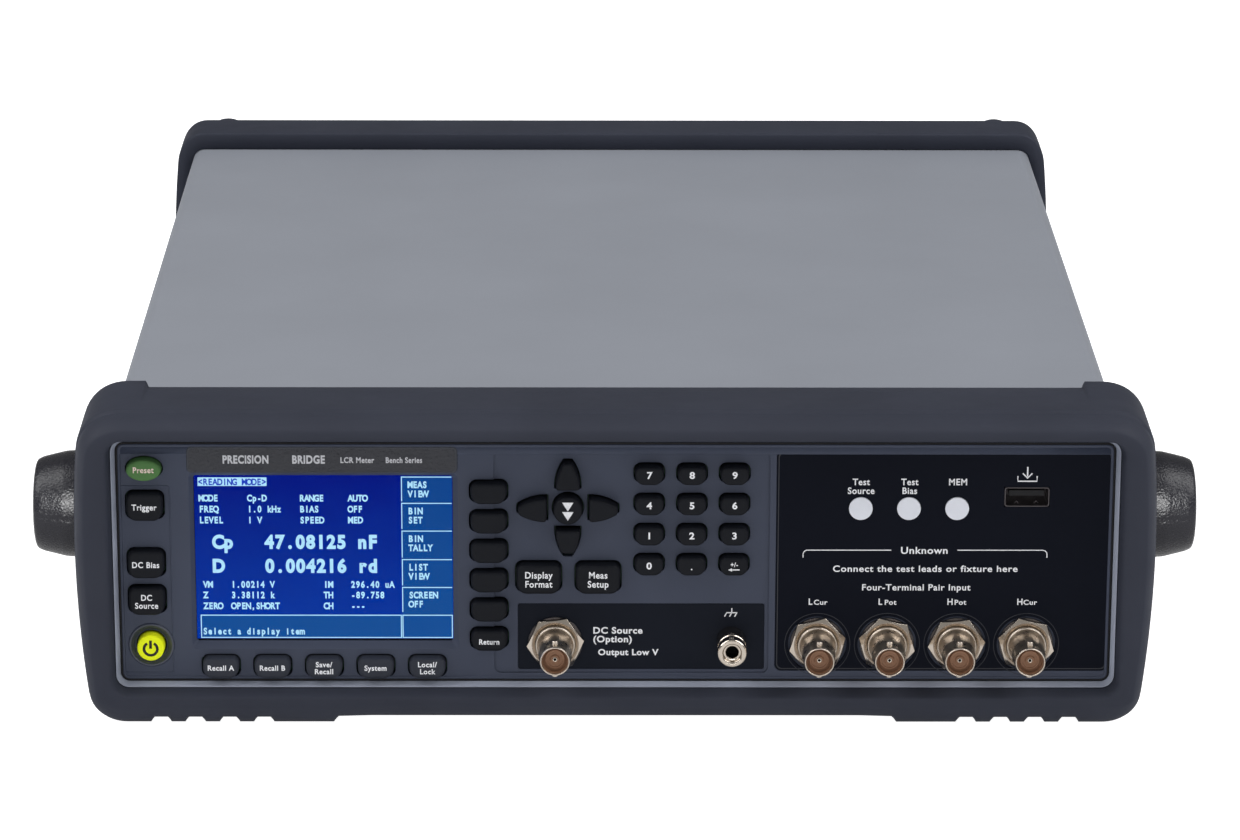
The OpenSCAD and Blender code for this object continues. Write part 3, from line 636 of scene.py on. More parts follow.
def panel_trim():
    """The bead round the panel, pale as a painted highlight, a black strip in the groove inside it as
    painted shade, the edge inside that, and the fine line round the left-hand keys. Each profile point is
    (inset, y from the panel's face)."""
    bm = bmesh.new()
    bead = [(0.02, 0.1), (0.02, -2.2), (0.06, -2.4), (0.18, -2.46), (0.32, -2.4), (0.42, -2.25),
            (1.28, -0.2), (1.4, 0.1)]
    # The groove is drawn as a thin black strip just proud of the panel: painted shade for the dark gap.
    groove = [(1.4, 0.1), (1.4, -0.04), (2.15, -0.04), (2.15, 0.1)]
    edge = [(2.1, 0.1), (2.12, -0.12), (2.2, -0.26), (2.36, -0.32), (2.56, -0.3), (2.9, -0.2), (3.1, 0.1)]
    for mat, profile in enumerate((bead, groove, edge)):
        border(bm, (TRIM_W, TRIM_H), (0, TRIM_Z), 4.2, PANEL_Y, profile, mat, shrink=1, steps=10)
    top_z = TRIM_Z + TRIM_H / 2 - 3.9
    slab(bm, lambda g: box_loop(TRIM_W - 5, 2.8, 0.3, 0, top_z), PANEL_Y - 0.15, PANEL_Y + 0.1, mat=2)
    # The bead's pale material is a painted highlight; the groove's black strip is painted shade.
    finish_piece(bm, "panel_rim", [RIM_PAINTED_HIGHLIGHT, BLACK, PANEL])

    bm = bmesh.new()
    line = [(0, 0.05), (0.05, -0.1), (0.22, -0.14), (0.4, -0.1), (0.45, 0.05)]
    border(bm, (16.2, 62.5), (-147.5, 49.15), 1.2, PANEL_Y, line)
    finish_piece(bm, "key_group_line", [PANEL])


def name_plate():
    """A textured inlay over the display with a plain, generic title."""
    w, h, cx, cz = 84.6, 8.6, -91.8, 88.85
    bm = bmesh.new()
    slab(bm, lambda g: box_loop(w - 2 * g, h - 2 * g, 1.6, cx, cz), PANEL_Y - 0.3, PANEL_Y + 0.1, 0.15)
    line = [(0, 0.25), (0.04, -0.02), (0.2, -0.06), (0.36, -0.02), (0.4, 0.25)]
    border(bm, (w - 0.3, h - 0.3), (cx, cz), 1.5, PANEL_Y - 0.3, line, 2)
    y = PANEL_Y - 0.33
    for words, x, squeeze in [("PRECISION", -115.6, 0.76), ("BRIDGE", -96.0, 0.78)]:
        write(bm, words, x, cz + 0.2, y, 2.6, 1, 0.14, squeeze=squeeze)
    for words, x, squeeze in [("LCR Meter", -80.8, 0.83), ("Bench Series", -66.2, 0.78)]:
        write(bm, words, x, cz, y, 1.85, 1, 0.07, squeeze=squeeze)
    finish_piece(bm, "name_plate", [BADGE, GREY_INK, FINE_LINE], smooth=False)


SCREEN_Y = mm_box("display_module")[0].y - 0.08
CELL, BIG_CELL = 1.53, 3.24  # pitch of the small and the large characters
TOP_COLUMNS = (-130.8, -115.6, -99.2, -84.0)
LOW_COLUMNS = (-130.0, -121.2, -92.1, -83.5)
SOFTKEYS = {83.0: ("MEAS", "VIEW"), 74.4: ("BIN", "SET"), 65.3: ("BIN", "TALLY"),
            55.9: ("LIST", "VIEW"), 46.7: ("SCREEN", "OFF")}  # keyed by each cell's top edge


def settle_screen(bm):
    """Drops the screen contents to the lit area's place behind the opening."""
    drawn_top, lit_top, stretch = 83.0, 82.35, 1.0085
    for v in bm.verts:
        v.co.z = lit_top + (v.co.z - drawn_top) * stretch


def screen_back():
    lo, hi = -132.2, -51.2
    bm = bmesh.new()
    bar(bm, lo, hi, 29.6, 83.4, SCREEN_Y, SCREEN_Y + 0.05, 0)
    for x0, x1, z0, z1 in [(-67.2, -51.4, 29.8, 83.2), (-130.9, -67.2, 29.8, 37.4)]:
        bar(bm, x0, x1, z0, z1, SCREEN_Y - 0.02, SCREEN_Y - 0.005, 1)
    settle_screen(bm)
    finish_piece(bm, "screen", [SCREEN, SCREEN_BAR], smooth=False)


def screen_text():
    bm = bmesh.new()
    y = SCREEN_Y - 0.05
    rows = [
        (76.0, TOP_COLUMNS, ("MODE", "Cp-D", "RANGE", "AUTO")),
        (72.4, TOP_COLUMNS, ("FREQ", "1.0 kHz", "BIAS", "OFF")),
        (68.8, TOP_COLUMNS, ("LEVEL", "1 V", "SPEED", "MED")),
        (47.6, LOW_COLUMNS, ("VM", "1.00214 V", "IM", "296.40 uA")),
        (44.1, LOW_COLUMNS, ("Z", "3.38112 k", "TH", "-89.758")),
        (40.5, LOW_COLUMNS, ("ZERO", "OPEN,SHORT", "CH", "---")),
        (32.1, (-130.4,), ("Select a display item",)),
    ]
    for z, columns, words in rows:
        for x, word in zip(columns, words):
            type_out(bm, word, x, z, y, 2.1, CELL, 0, 0.12)
    for z, reading in [(61.7, ("Cp", "47.08125", "nF")), (53.8, ("D", "0.004216", "rd"))]:
        for x, word in zip((-126.6, -110.5, -81.3), reading):
            type_out(bm, word, x, z, y, 4.3, BIG_CELL, 0, 0.3, 0.9)
    for top, words in SOFTKEYS.items():
        for down, word in zip((2.6, 5.6), words):
            type_out(bm, word, -65.2, top - down, y, 2.1, CELL, 0, 0.12)
    settle_screen(bm)
    finish_piece(bm, "screen_characters", [SCREEN_INK], smooth=False)


def screen_lines():
    """Frames of the soft-key cells and the message line, and the title's light bar."""
    bm = bmesh.new()
    tops = list(SOFTKEYS)
    t = 0.3
    y0, y1 = SCREEN_Y - 0.06, SCREEN_Y - 0.01
    for i, top in enumerate(tops):
        low = (tops[i + 1] if i < 4 else 37.9) + 0.55
        bar(bm, -67.3, -51.5, top - t, top, y0, y1)
        bar(bm, -67.3, -67.3 + t, low, top, y0, y1)
    for x0, x1 in [(-131.0, -67.5), (-67.3, -51.4)]:
        bar(bm, x0, x1, 37.2, 37.2 + t, y0, y1)
        bar(bm, x0, x1, 29.8, 29.8 + t, y0, y1)
        bar(bm, x0, x0 + t, 29.8, 37.4, y0, y1)
        bar(bm, x1 - t, x1, 29.8, 37.4, y0, y1)
    bar(bm, -131.0, -109.4, 79.9, 82.7, y0, y1)
    type_out(bm, "<READING MODE>", -130.9, 81.3, y0 - 0.02, 2.1, CELL, 1, 0.09)
    settle_screen(bm)
    finish_piece(bm, "screen_lines", [SCREEN_INK, SCREEN_DARK], smooth=False)


def source_inlay():
    """The dark film behind the source terminal, set into the panel's lower pocket."""
    bm = bmesh.new()
    floor = PANEL_Y + 0.9
    slab(bm, lambda g: box_loop(77.7 - 2 * g, 21.9 - 2 * g, 0.7, 8.1, 30.1), floor - 0.12, floor - 0.01)
    y = floor - 0.14
    legend = [("DC Source", 0.7, 32.1, 2.15), ("(Option)", -0.9, 29.2, 2.15),
              ("Output Low V", 4.0, 24.8, 2.0)]
    for words, x, z, height in legend:
        write(bm, words, x, z, y, height, 1, 0.09, squeeze=1.06)
    finish_piece(bm, "source_inlay", [INLAY, WHITE], smooth=False)


def stroke(bm, points, width, y, depth=0.05, mat=0):
    """A flat line of even width through [x, z] points."""
    left, right = [], []
    for i, p in enumerate(points):
        a = Vector(points[max(i - 1, 0)])
        b = Vector(points[min(i + 1, len(points) - 1)])
        d = (b - a).normalized()
        n = Vector((-d.y, d.x)) * width / 2
        left.append((p[0] + n.x, p[1] + n.y))
        right.append((p[0] - n.x, p[1] - n.y))
    rings = []
    near, far = y - depth / 2, y + depth / 2
    for (lx, lz), (rx, rz) in zip(left, right):
        rings.append([(lx, near, lz), (rx, near, rz), (rx, far, rz), (lx, far, lz)])
    skin(bm, rings, mat=mat)


def plate_border(bm, y):
    """The fine line round the plate, and a faint ridge round each test terminal."""
    line = [(0, 0.03), (0.03, 0), (0.3, 0), (0.33, 0.03)]
    border(bm, (104.3, 72.1), (103.0, 55.4), 1.7, y, line, 1)
    ridge = [(10.2, y + 0.03), (10.25, y - 0.05), (10.4, y - 0.05), (10.45, y + 0.03)]
    for i in range(4):
        turn_y(bm, ridge, TEST_X + TEST_PITCH * i, TEST_Z, 0, mat=1)


def plate_print():
    """Legends printed on the dark terminal plate, and its fine border line."""
    bm = bmesh.new()
    y = PLATE_Y - 0.03
    for x, words in [(76.8, ("Test", "Source")), (92.0, ("Test", "Bias")), (107.1, ("MEM",))]:
        for z, word in zip((81.7, 78.8), words):
            write(bm, word, x, z, y, 2.15, weight=0.06)
    write(bm, "Unknown", 97.0, 59.1, y, 2.3, 0, 0.06, squeeze=1.1)
    for s, x_end, x_in in [(-1, 58.9, 86.6), (1, 135.6, 107.4)]:
        curve = [(x_in, 59.1), (x_end - s * 1.4, 59.1)]
        curve += arc(x_end - s * 1.4, 57.7, 1.4, 90, 90 - s * 90, 6)[1:]
        stroke(bm, curve + [(x_end, 56.6)], 0.28, y)
    write(bm, "Connect the test leads or fixture here", 97.4, 53.0, y, 2.1, 0, 0.05, squeeze=1.15)
    write(bm, "Four-Terminal Pair Input", 94.6, 46.8, y, 2.1, 0, 0.05, squeeze=1.05)
    for i, (big, small) in enumerate([("L", "Cur"), ("L", "Pot"), ("H", "Pot"), ("H", "Cur")]):
        x = 63.4 + 22.03 * i
        write(bm, big, x - 2.0, 42.0, y, 2.1, 0, 0.06)
        write(bm, small, x + 1.2, 41.8, y, 1.65, 0, 0.05, squeeze=1.1)
    # A plain arrow pointing into a slot, over the memory socket
    stroke(bm, [(128.8, 86.6), (128.8, 83.4)], 0.45, y)
    stroke(bm, [(127.3, 84.5), (128.8, 82.9), (130.3, 84.5)], 0.45, y)
    stroke(bm, [(125.8, 83.6), (125.8, 81.9), (131.8, 81.9), (131.8, 83.6)], 0.4, y)
    plate_border(bm, y)
    finish_piece(bm, "plate_print", [WHITE, FAINT_LINE], smooth=False)


def ground_mark():
    bm = bmesh.new()
    y = PANEL_Y + 0.72
    x, z = 36.7, 38.0
    stroke(bm, [(x, z + 1.5), (x, z)], 0.35, y)
    stroke(bm, [(x - 1.75, z), (x + 1.75, z)], 0.35, y)
    for k in (-1, 0, 1):
        stroke(bm, [(x + 1.6 * k, z), (x + 1.6 * k - 0.7, z - 1.3)], 0.35, y)
    finish_piece(bm, "ground_mark", [WHITE], smooth=False)


# ---------------------------------------------------------------- keys

CAP_Y = mm_box("key_5")[0].y
CAP_GAP = 0.55


def cap(bm, loop_of, edge):
    """A key cap: flat face, rounded shoulder, and a slight flare towards the panel."""
    flare, root = 0.12, 2.9
    rings = [at_y(loop_of(edge * share), CAP_Y) for share in (1.35, 1.05)]
    for k in range(6):
        a = math.radians(90 * k / 5)
        rings.append(at_y(loop_of(edge * (1 - math.sin(a))), CAP_Y + edge * (1 - math.cos(a)) + 0.02))
    rings += [at_y(loop_of(-flare), PANEL_Y + depth) for depth in (0.2, root)]
    skin(bm, rings)


def cap_box(node):
    """Centre, width and height of a key's cap from its CAD node, whose widest part is the hidden flange."""
    flange = 1.1
    lo, hi = mm_box(node)
    middle, size = (lo + hi) / 2, hi - lo
    return middle.x, middle.z, size.x - flange - 2 * CAP_GAP, size.z - flange - 2 * CAP_GAP


def bulged_loop(w, h, r, cx, cz):
    """A key outline with rounder lower corners and a lower edge that bellies out."""
    belly = 0.38
    points = []
    for x, z in box_loop(w, h, r, cx, cz, 8, r_low=min(1.35 * r, h * 0.48)):
        t = (x - cx) / (w / 2)
        points.append((x, z - belly * (1 - t * t) if z < cz else z))
    return points


def text_key(node, lines, height, mat=KEY, ink_mat=WHITE, shape="box", edge=1.1,
             weight=0.06, drop=0.0, extra=None, squeeze=0.88):
    """A key's cap with its legend: lines of text, and extra(bm, cx, cz, y) for a symbol."""
    cx, cz, w, h = cap_box(node)
    bm = bmesh.new()
    if shape == "oval":
        cap(bm, lambda g: oval_loop(w - 2 * g, h - 2 * g, cx, cz), edge)
    else:
        cap(bm, lambda g: bulged_loop(w - 2 * g, h - 2 * g, 2.2 - g * 0.7, cx, cz), edge)
    gap = height * 1.36
    for i, line in enumerate(lines):
        z = cz + 0.1 - drop + gap * ((len(lines) - 1) / 2 - i)
        write(bm, line, cx, z, CAP_Y - 0.01, height, 1, weight, depth=0.08, squeeze=squeeze)
    if extra:
        extra(bm, cx, cz, CAP_Y - 0.01)
    finish_piece(bm, node + "_cap", [mat, ink_mat], [node], node)


def back_arrow(bm, cx, cz, y):
    """A small arrow to the left, under the sign key's legend."""
    z = cz - 1.0
    stroke(bm, [(cx + 1.7, z), (cx - 0.8, z)], 0.4, y, mat=1)
    head = [(cx - 0.7, z - 0.6), (cx - 0.7, z + 0.6), (cx - 1.9, z)]
    skin(bm, [at_y(head, y + d) for d in (-0.03, 0.03)], mat=1)


def power_key():
    cx, cz, w, h = cap_box("key_power")
    bm = bmesh.new()
    cap(bm, lambda g: oval_loop(w - 2 * g, h - 2 * g, cx, cz), 0.5)
    y = CAP_Y - 0.02
    stroke(bm, arc(cx, cz - 0.2, 2.1, 60, -240, 30), 0.85, y, mat=1)
    stroke(bm, [(cx, cz + 2.6), (cx, cz - 0.1)], 0.85, y, mat=1)
    finish_piece(bm, "key_power_cap", [POWER, DARK], ["key_power"], "key_power")


def key_dish():
    """Raised ring with a hollow inner slope, round the power key."""
    cx, cz, w, h = cap_box("key_power")
    bm = bmesh.new()
    ring = [(5.2, 0.6), (5.35, 0.56), (5.9, 0.1), (6.4, -0.35), (6.6, -0.45), (6.85, -0.45), (7.1, -0.3),
            (7.3, 0.1), (6.2, 0.9)]
    turn_y(bm, [(r, PANEL_Y + d) for r, d in ring], cx, cz, 0.1)
    finish_piece(bm, "power_key_dish", [GLOSS_PANEL])


def enter_key():
    size = 9.1
    cx, cz = cap_box("key_enter")[:2]
    bm = bmesh.new()
    cap(bm, lambda g: oval_loop(size - 2 * g, size - 2 * g, cx, cz), 0.9)
    y, half_w, half_h = CAP_Y - 0.03, 1.8, 1.45
    for z in (cz + 1.5, cz - 1.6):
        down = [(cx, z - half_h), (cx + half_w, z + half_h), (cx - half_w, z + half_h)]
        slab(bm, lambda g, down=down: down, y, y + 0.06, mat=1)
    finish_piece(bm, "key_enter_cap", [KEY, WHITE], ["key_enter"], "key_enter")


# Cursor keys: near and far edge from the middle key, half width, and radius of the pointed arch
ARROW_IN, ARROW_OUT, ARROW_HALF, ARCH_R = 6.1, 16.2, 4.3, 15.6
ARROW_MIDDLE = 10.6
LOWER_CUT = 1.5  # how much shorter the lower cursor key is


def arch_reach(angle, g, cx, out):
    """Distance from (cx, 0) to the edge of a pointed-arch key along angle, grown by g."""
    dx, dz = math.cos(angle), math.sin(angle)
    reach = 99.0
    circles = [(ARROW_IN + 1, s * (ARROW_HALF - ARCH_R), ARCH_R + g) for s in (-1, 1)]
    circles.append((0, 0, out + g))
    for ox, oz, r in circles:
        px, pz = cx - ox, -oz
        b = px * dx + pz * dz
        reach = min(reach, -b + math.sqrt(b * b - (px * px + pz * pz - r * r)))
    if dx < 0:
        reach = min(reach, (ARROW_IN - g - cx) / dx)
    return reach


def arch_loop(turn, g, middle, out=ARROW_OUT, steps=72):
    """A cursor key's outline, grown by g and turned about the middle key."""
    cx = ARROW_MIDDLE
    reach = [arch_reach(2 * math.pi * k / steps, g, cx, out) for k in range(steps)]
    for _ in range(2):
        reach = [(reach[k - 1] + 2 * reach[k] + reach[(k + 1) % steps]) / 4 for k in range(steps)]
    points = []
    for k, d in enumerate(reach):
        a = 2 * math.pi * k / steps
        x, z = cx + d * math.cos(a), d * math.sin(a)
        points.append((middle[0] + x * math.cos(turn) - z * math.sin(turn),
                       middle[1] + x * math.sin(turn) + z * math.cos(turn)))
    return points


def arrow_keys():
    middle = cap_box("key_enter")[:2]
    for i, node in enumerate(["key_right", "key_up", "key_left", "key_down"]):
        bm = bmesh.new()
        out = ARROW_OUT - (LOWER_CUT if node == "key_down" else 0)
        cap(bm, lambda g, i=i, out=out: arch_loop(math.pi / 2 * i, -g - CAP_GAP, middle, out), 0.9)
        finish_piece(bm, node + "_cap", [KEY], [node], node)


def all_keys():
    left = {"key_trigger": ["Trigger"], "key_dc_bias": ["DC Bias"], "key_dc_source": ["DC", "Source"]}
    for node, lines in left.items():
        text_key(node, lines, 1.95)
    text_key("key_preset", ["Preset"], 1.9, PRESET, CREAM, "oval", 0.8, drop=-0.25)
    row = {"key_recall_a": ["Recall A"], "key_recall_b": ["Recall B"],
           "key_save_recall": ["Save/", "Recall"], "key_system": ["System"],
           "key_local": ["Local/", "Lock"]}
    # The lower row's caps use the lighter copy of the key rubber, a painted highlight.
    for node, lines in row.items():
        text_key(node, lines, 1.72, KEY_PAINTED_HIGHLIGHT, drop=-0.15, squeeze=0.95)
    for k in range(1, 6):
        text_key(f"softkey_{k}", [], 1.5)
    text_key("key_return", ["Return"], 1.75, drop=0.3)
    text_key("key_display_format", ["Display", "Format"], 2.2, edge=1.2)
    text_key("key_meas_setup", ["Meas", "Setup"], 2.2, edge=1.2)
    for digit in "0123456789":
        text_key("key_" + digit, [digit], 2.2, edge=0.9, weight=0.09, drop=-0.25, squeeze=1.1)
    text_key("key_point", ["."], 2.25, edge=0.9, weight=0.08)
    text_key("key_sign", ["+/-"], 1.5, edge=0.9, weight=0.05, drop=-0.65, extra=back_arrow)
    power_key()
    key_dish()
    enter_key()
    arrow_keys()


# ---------------------------------------------------------------- terminals

BNC_R = 4.8


def terminal_centres():
    """Each coaxial terminal's x, z and the turn of its nut in degrees; the source one is last."""
    tests = [(TEST_X + TEST_PITCH * i, TEST_Z, turn) for i, turn in enumerate([14, 46, 5, 46])]
    return tests + [(-19, 27.95, 6)]


def bnc_shell(bm, x, z, seat):
    """Bayonet sleeve with a domed shoulder, a rolled lip and two locking lugs."""
    tip = mm_box("bnc_bodies")[0].y
    outside = [(3.4, seat + 3), (6.3, seat + 3), (6.3, seat - 2.9), (6.05, seat - 3.2), (5.85, seat - 3.2),
               (5.78, seat - 3.7), (5.6, seat - 4.6), (5.4, seat - 5.7), (5.3, seat - 7.0),
               (5.28, tip + 6.6), (5.15, tip + 5.0), (4.9, tip + 3.6), (BNC_R, tip + 2.2),
               (BNC_R, tip + 0.5), (BNC_R - 0.25, tip),
               (BNC_R - 0.5, tip + 0.05), (4.12, tip + 0.5), (4.1, tip + 12), (3.4, tip + 12.2)]
    turn_y(bm, outside, x, z, 0.22)
    for s in (-1, 1):
        lug = [(0.02, 4.2), (1.0, 4.2), (1.0, 5.7), (0.7, 5.98), (0.02, 5.98)]
        lathe(bm, round_profile(lug, 0.2),
              lambda r, t, a, s=s: (x + r * math.cos(t), tip + 3.2 + r * math.sin(t), z + s * a), 24)


def hex_nut(bm, x, z, turn, seat, height=2.2, flats=15.9):
    """Hexagon nut with chamfered corners and a round bearing ring on its face."""
    n = 96
    inner = flats / 2 - 0.35

    def ring(radius_of, y_of):
        points = []
        for k in range(n):
            t = 2 * math.pi * k / n
            r = radius_of(t)
            a = t + math.radians(turn - 30)
            points.append((x + r * math.cos(a), y_of(r), z + r * math.sin(a)))
        return points

    def hexagon(t):
        return flats / 2 / math.cos((t + math.pi / 6) % (math.pi / 3) - math.pi / 6)

    def chamfer(r):
        return seat - height + max(0.0, r - inner) * 0.55  # the corners slope back

    def circle(r, depth):
        return ring(lambda t: r, lambda _: depth)

    face, bore = seat - height, 6.35
    rings = [circle(bore, seat), ring(hexagon, lambda r: seat),
             ring(hexagon, lambda r: chamfer(r) + 0.15), ring(lambda t: hexagon(t) - 0.1, chamfer),
             circle(inner - 0.15, face - 0.06), circle(6.95, face), circle(6.85, face + 0.15),
             circle(6.45, face + 0.4), circle(bore, face + 0.6)]
    n_old = len(bm.faces)
    skin(bm, rings, closed=True)
    bm.faces.ensure_lookup_table()
    flat = 4  # the band of faces between rings 4 and 5 is the nut's bearing face
    for f in bm.faces[n_old + flat * n:n_old + (flat + 1) * n]:
        f.material_index = 2
    washer = [(6.4, seat + 0.05), (8.6, seat + 0.05), (8.6, seat - 0.3), (8.4, seat - 0.45),
              (6.4, seat - 0.45)]
    turn_y(bm, washer, x, z, 0.1, mat=1)


def bnc_core(bm, x, z):
    """Insulator with a raised collar and a split contact."""
    tip = mm_box("bnc_bodies")[0].y
    body = [(0.75, tip + 12), (0.75, tip + 2.2), (1.3, tip + 2.1), (1.5, tip + 2.6), (2.5, tip + 2.7),
            (2.6, tip + 2.3), (3.1, tip + 2.3), (3.2, tip + 3.0), (3.9, tip + 3.1), (3.95, tip + 0.9),
            (4.08, tip + 0.9), (4.08, tip + 12)]
    turn_y(bm, body, x, z, 0.1, 48)
    contact = [(0.4, tip + 9), (0.4, tip + 2.1), (0.7, tip + 2.0), (0.72, tip + 9)]
    turn_y(bm, contact, x, z, 0.08, 32, 1)


def terminals():
    shells, nuts, cores = bmesh.new(), bmesh.new(), bmesh.new()
    for x, z, turn in terminal_centres():
        seat = PANEL_Y + (1.05 if x > 0 else 0.85)
        bnc_shell(shells, x, z, seat)
        hex_nut(nuts, x, z, turn, seat)
        bnc_core(cores, x, z)
    finish_piece(shells, "bnc_sleeves", [SLEEVE], ["bnc_bodies"])
    nut_mats = [NICKEL, DARK_NICKEL, NUT_FACE]
    sharpen(finish_piece(nuts, "bnc_hex_nuts", nut_mats, ["bnc_nuts"]), 25)
    finish_piece(cores, "bnc_insulators", [TAN, NICKEL], ["bnc_cores"])


def usb_socket():
    """Folded metal shell, black tongue with four contacts, and two spring tabs."""
    lo, hi = mm_box("usb_port")
    x, z = (lo.x + hi.x) / 2, (lo.z + hi.z) / 2
    w, h = hi.x - lo.x, hi.z - lo.z
    front, back = lo.y, hi.y
    bm = bmesh.new()
    lip = [(0, back), (0, front + 0.15), (0.08, front), (0.32, front), (0.42, front + 0.2), (0.42, back - 3)]
    rings = [at_y(box_loop(w - 2 * i, h - 2 * i, 0.9 - i, x, z, 5), y) for i, y in lip]
    skin(bm, rings)
    tongue_z, tongue_w = z + 1.05, 5.6
    slab(bm, lambda g: box_loop(2 * tongue_w - 2 * g, 1.9 - 2 * g, 0.2, x, tongue_z, 3),
         front + 1.0, back - 3, 0.15, 1)
    for k in range(4):
        cx = x + (k - 1.5) * 2.3
        bar(bm, cx - 0.5, cx + 0.5, tongue_z - 1.02, tongue_z - 0.94, front + 1.6, front + 8, 0)
    for s in (-1, 1):
        tab_x, tab_z = x + s * 3.1, z - h / 2 + 0.5
        tab = [(tab_x - 0.75, tab_z), (tab_x, tab_z + 0.85), (tab_x + 0.75, tab_z)]
        stroke(bm, tab, 0.22, front + 2.6, 1.6, 0)
    finish_piece(bm, "usb_socket", [SOCKET_STEEL, BLACK], ["usb_port"], smooth=False)


def sharpen(obj, degrees):
    """Keeps smooth shading but leaves edges sharper than the given angle crisp."""
    limit = math.radians(degrees)
    bm = bmesh.new()
    bm.from_mesh(obj.data)
    for e in bm.edges:
        if len(e.link_faces) == 2 and e.calc_face_angle(0) > limit:
            e.smooth = False
    bm.to_mesh(obj.data)
    bm.free()


def ground_post():
    x, z = 36.6, 28.8
    front = mm_box("ground_terminal")[0].y
    seat = PANEL_Y + 0.85
    profile = [(2.05, seat - 1), (2.05, front + 1.4), (2.75, front + 1.3), (2.9, front + 0.5),
               (3.3, front + 0.15), (4.1, front), (4.6, front + 0.5), (4.6, front + 3.4),
               (4.25, front + 3.8), (4.25, front + 4.6),
               (4.65, front + 5.0), (4.65, seat), (2.05, seat)]
    bm = bmesh.new()
    turn_y(bm, profile, x, z, 0.2)
    finish_piece(bm, "ground_post", [NICKEL], ["ground_terminal"])


# ---------------------------------------------------------------- handle

HUB_IN, HUB_OUT = 172.1, 186.9  # the hub's faces, from the middle of the case
ARM_LEN, BAR_Z = 150.0, 5.6
ARM_X, TURN_R = 180.6, 20.0
ARM_ROOT_W, ARM_TIP_W, ARM_T = 23.0, 9.8, 10.6  # width at the hub and at the corner, thickness
BAR_W, BAR_T = 23.1, 8.0


def hub(bm, side):
    """A tapered drum with a rounded rim, a shallow dish and a plain cap on its outer face."""
    profile = [(6.1, HUB_IN), (16.6, HUB_IN), (17.3, HUB_IN + 0.9), (17.1, HUB_IN + 5),
               (15.3, HUB_OUT - 2.4),
               (14.4, HUB_OUT - 0.5), (13.0, HUB_OUT), (11.8, HUB_OUT - 0.1), (10.9, HUB_OUT - 1.0),
               (8.6, HUB_OUT - 1.1), (7.8, HUB_OUT - 0.4), (0.02, HUB_OUT - 0.3), (0.02, HUB_OUT - 2.1),
               (6.1, HUB_OUT - 2.1)]

    def place(r, t, a):
        groove = 0.22 if r > 15 and min(abs(math.sin(t)), 1) < 0.02 else 0.0
        return (side * a, PIVOT_Y + (r - groove) * math.cos(t), PIVOT_Z + (r - groove) * math.sin(t))

    lathe(bm, round_profile(profile, 0.9, steps=4), place, 144)


def grip():
    """Arms and bar as one sweep: out along the left arm, across, and back up the right."""
    drop = math.asin((PIVOT_Z - BAR_Z) / ARM_LEN)
    along = Vector((0, math.cos(drop), -math.sin(drop)))
    across = Vector((0, math.sin(drop), math.cos(drop)))
    pivot = Vector((0, PIVOT_Y, PIVOT_Z))
    start, end = 12, ARM_LEN - TURN_R
    rings = []

    def section(centre, wide, thick, w, t):
        loop = box_loop(w, t, min(w, t) * 0.42)
        rings.append([tuple(centre + wide * a + thick * b) for a, b in loop])

    def arm(side, order):
        for s in order:
            taper = step((s - start) / (end - start), 0, 1)
            w = ARM_ROOT_W - (ARM_ROOT_W - ARM_TIP_W) * taper
            outward = Vector((side, 0, 0))
            section(pivot + outward * ARM_X + along * s, across, -outward, w, ARM_T)

    def corner(side, order):
        outward = Vector((side, 0, 0))
        for f in order:
            a = math.pi / 2 * f
            out = (along * (1 - f) + Vector((0, 1, 0)) * f).normalized()
            up = (across * (1 - f) + Vector((0, 0, 1)) * f).normalized()
            centre = pivot + along * end + outward * (ARM_X - TURN_R)
            centre += outward * TURN_R * math.cos(a) + along * TURN_R * math.sin(a)
            thick = up.cross(out * math.cos(a) - outward * math.sin(a))
            section(centre, up, thick * side, ARM_TIP_W - (ARM_TIP_W - BAR_T) * f,
                    ARM_T + (BAR_W - ARM_T) * step(f, 0, 1))

    sweep = [start, 30, 50, 75, 100, 118]
    turns = [k / 10 for k in range(11)]
    arm(-1, sweep)
    corner(-1, turns)
    corner(1, turns[::-1])
    arm(1, sweep[::-1])
    return rings


def handle():
    bm = bmesh.new()
    skin(bm, grip())
    for side in (-1, 1):
        hub(bm, side)
    finish_piece(bm, "bail_handle", [HANDLE], ["handle"], "handle")


# ---------------------------------------------------------------- CAD nodes kept as they are

def dress_cad():
    """Gives the CAD nodes that show as they are their finished materials."""
    finishes = {
        "cover": COVER, "rear_panel": REAR, "chassis": STEEL, "front_panel": PANEL,
        "display_window": PANE, "display_module": BLACK, "terminal_plate": PLATE,
        "indicator_lamps": LAMP, "keypad_board": BOARD, "main_board": BOARD,
        "io_connectors": NICKEL, "power_supply": STEEL, "fan_frame": BLACK, "fan_rotor": BLACK,
        "power_inlet": BLACK, "handle_pivots": ZINC, "screws": ZINC,
    }
    for node, mat in finishes.items():
        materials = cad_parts[node].data.materials
        materials.clear()
        materials.append(mat)


# ---------------------------------------------------------------- stage

def floor():
    """Pale paper that looks white to the camera and sends less light up to the case."""
    s = Shader("floor_paper", (0.6, 0.6, 0.605), 0.8, spec=0.05)
    s.mottle(400, 0.01).smears(300, 0.03)
    s.put("Emission Color", (1, 1, 1, 1))
    seen = s.add("ShaderNodeLightPath").outputs["Is Camera Ray"]
    s.join(s.remap(seen, (0, 1), (0.3, 1.0)), s.bsdf.inputs["Emission Strength"])
    bm = bmesh.new()
    bmesh.ops.create_grid(bm, x_segments=2, y_segments=2, size=6)
    mesh = bpy.data.meshes.new("floor")
    bm.to_mesh(mesh)
    bm.free()
    mesh.materials.append(s.mat)
    obj = bpy.data.objects.new("floor", mesh)
    obj.location.z = -0.0005
    bpy.context.scene.collection.objects.link(obj)


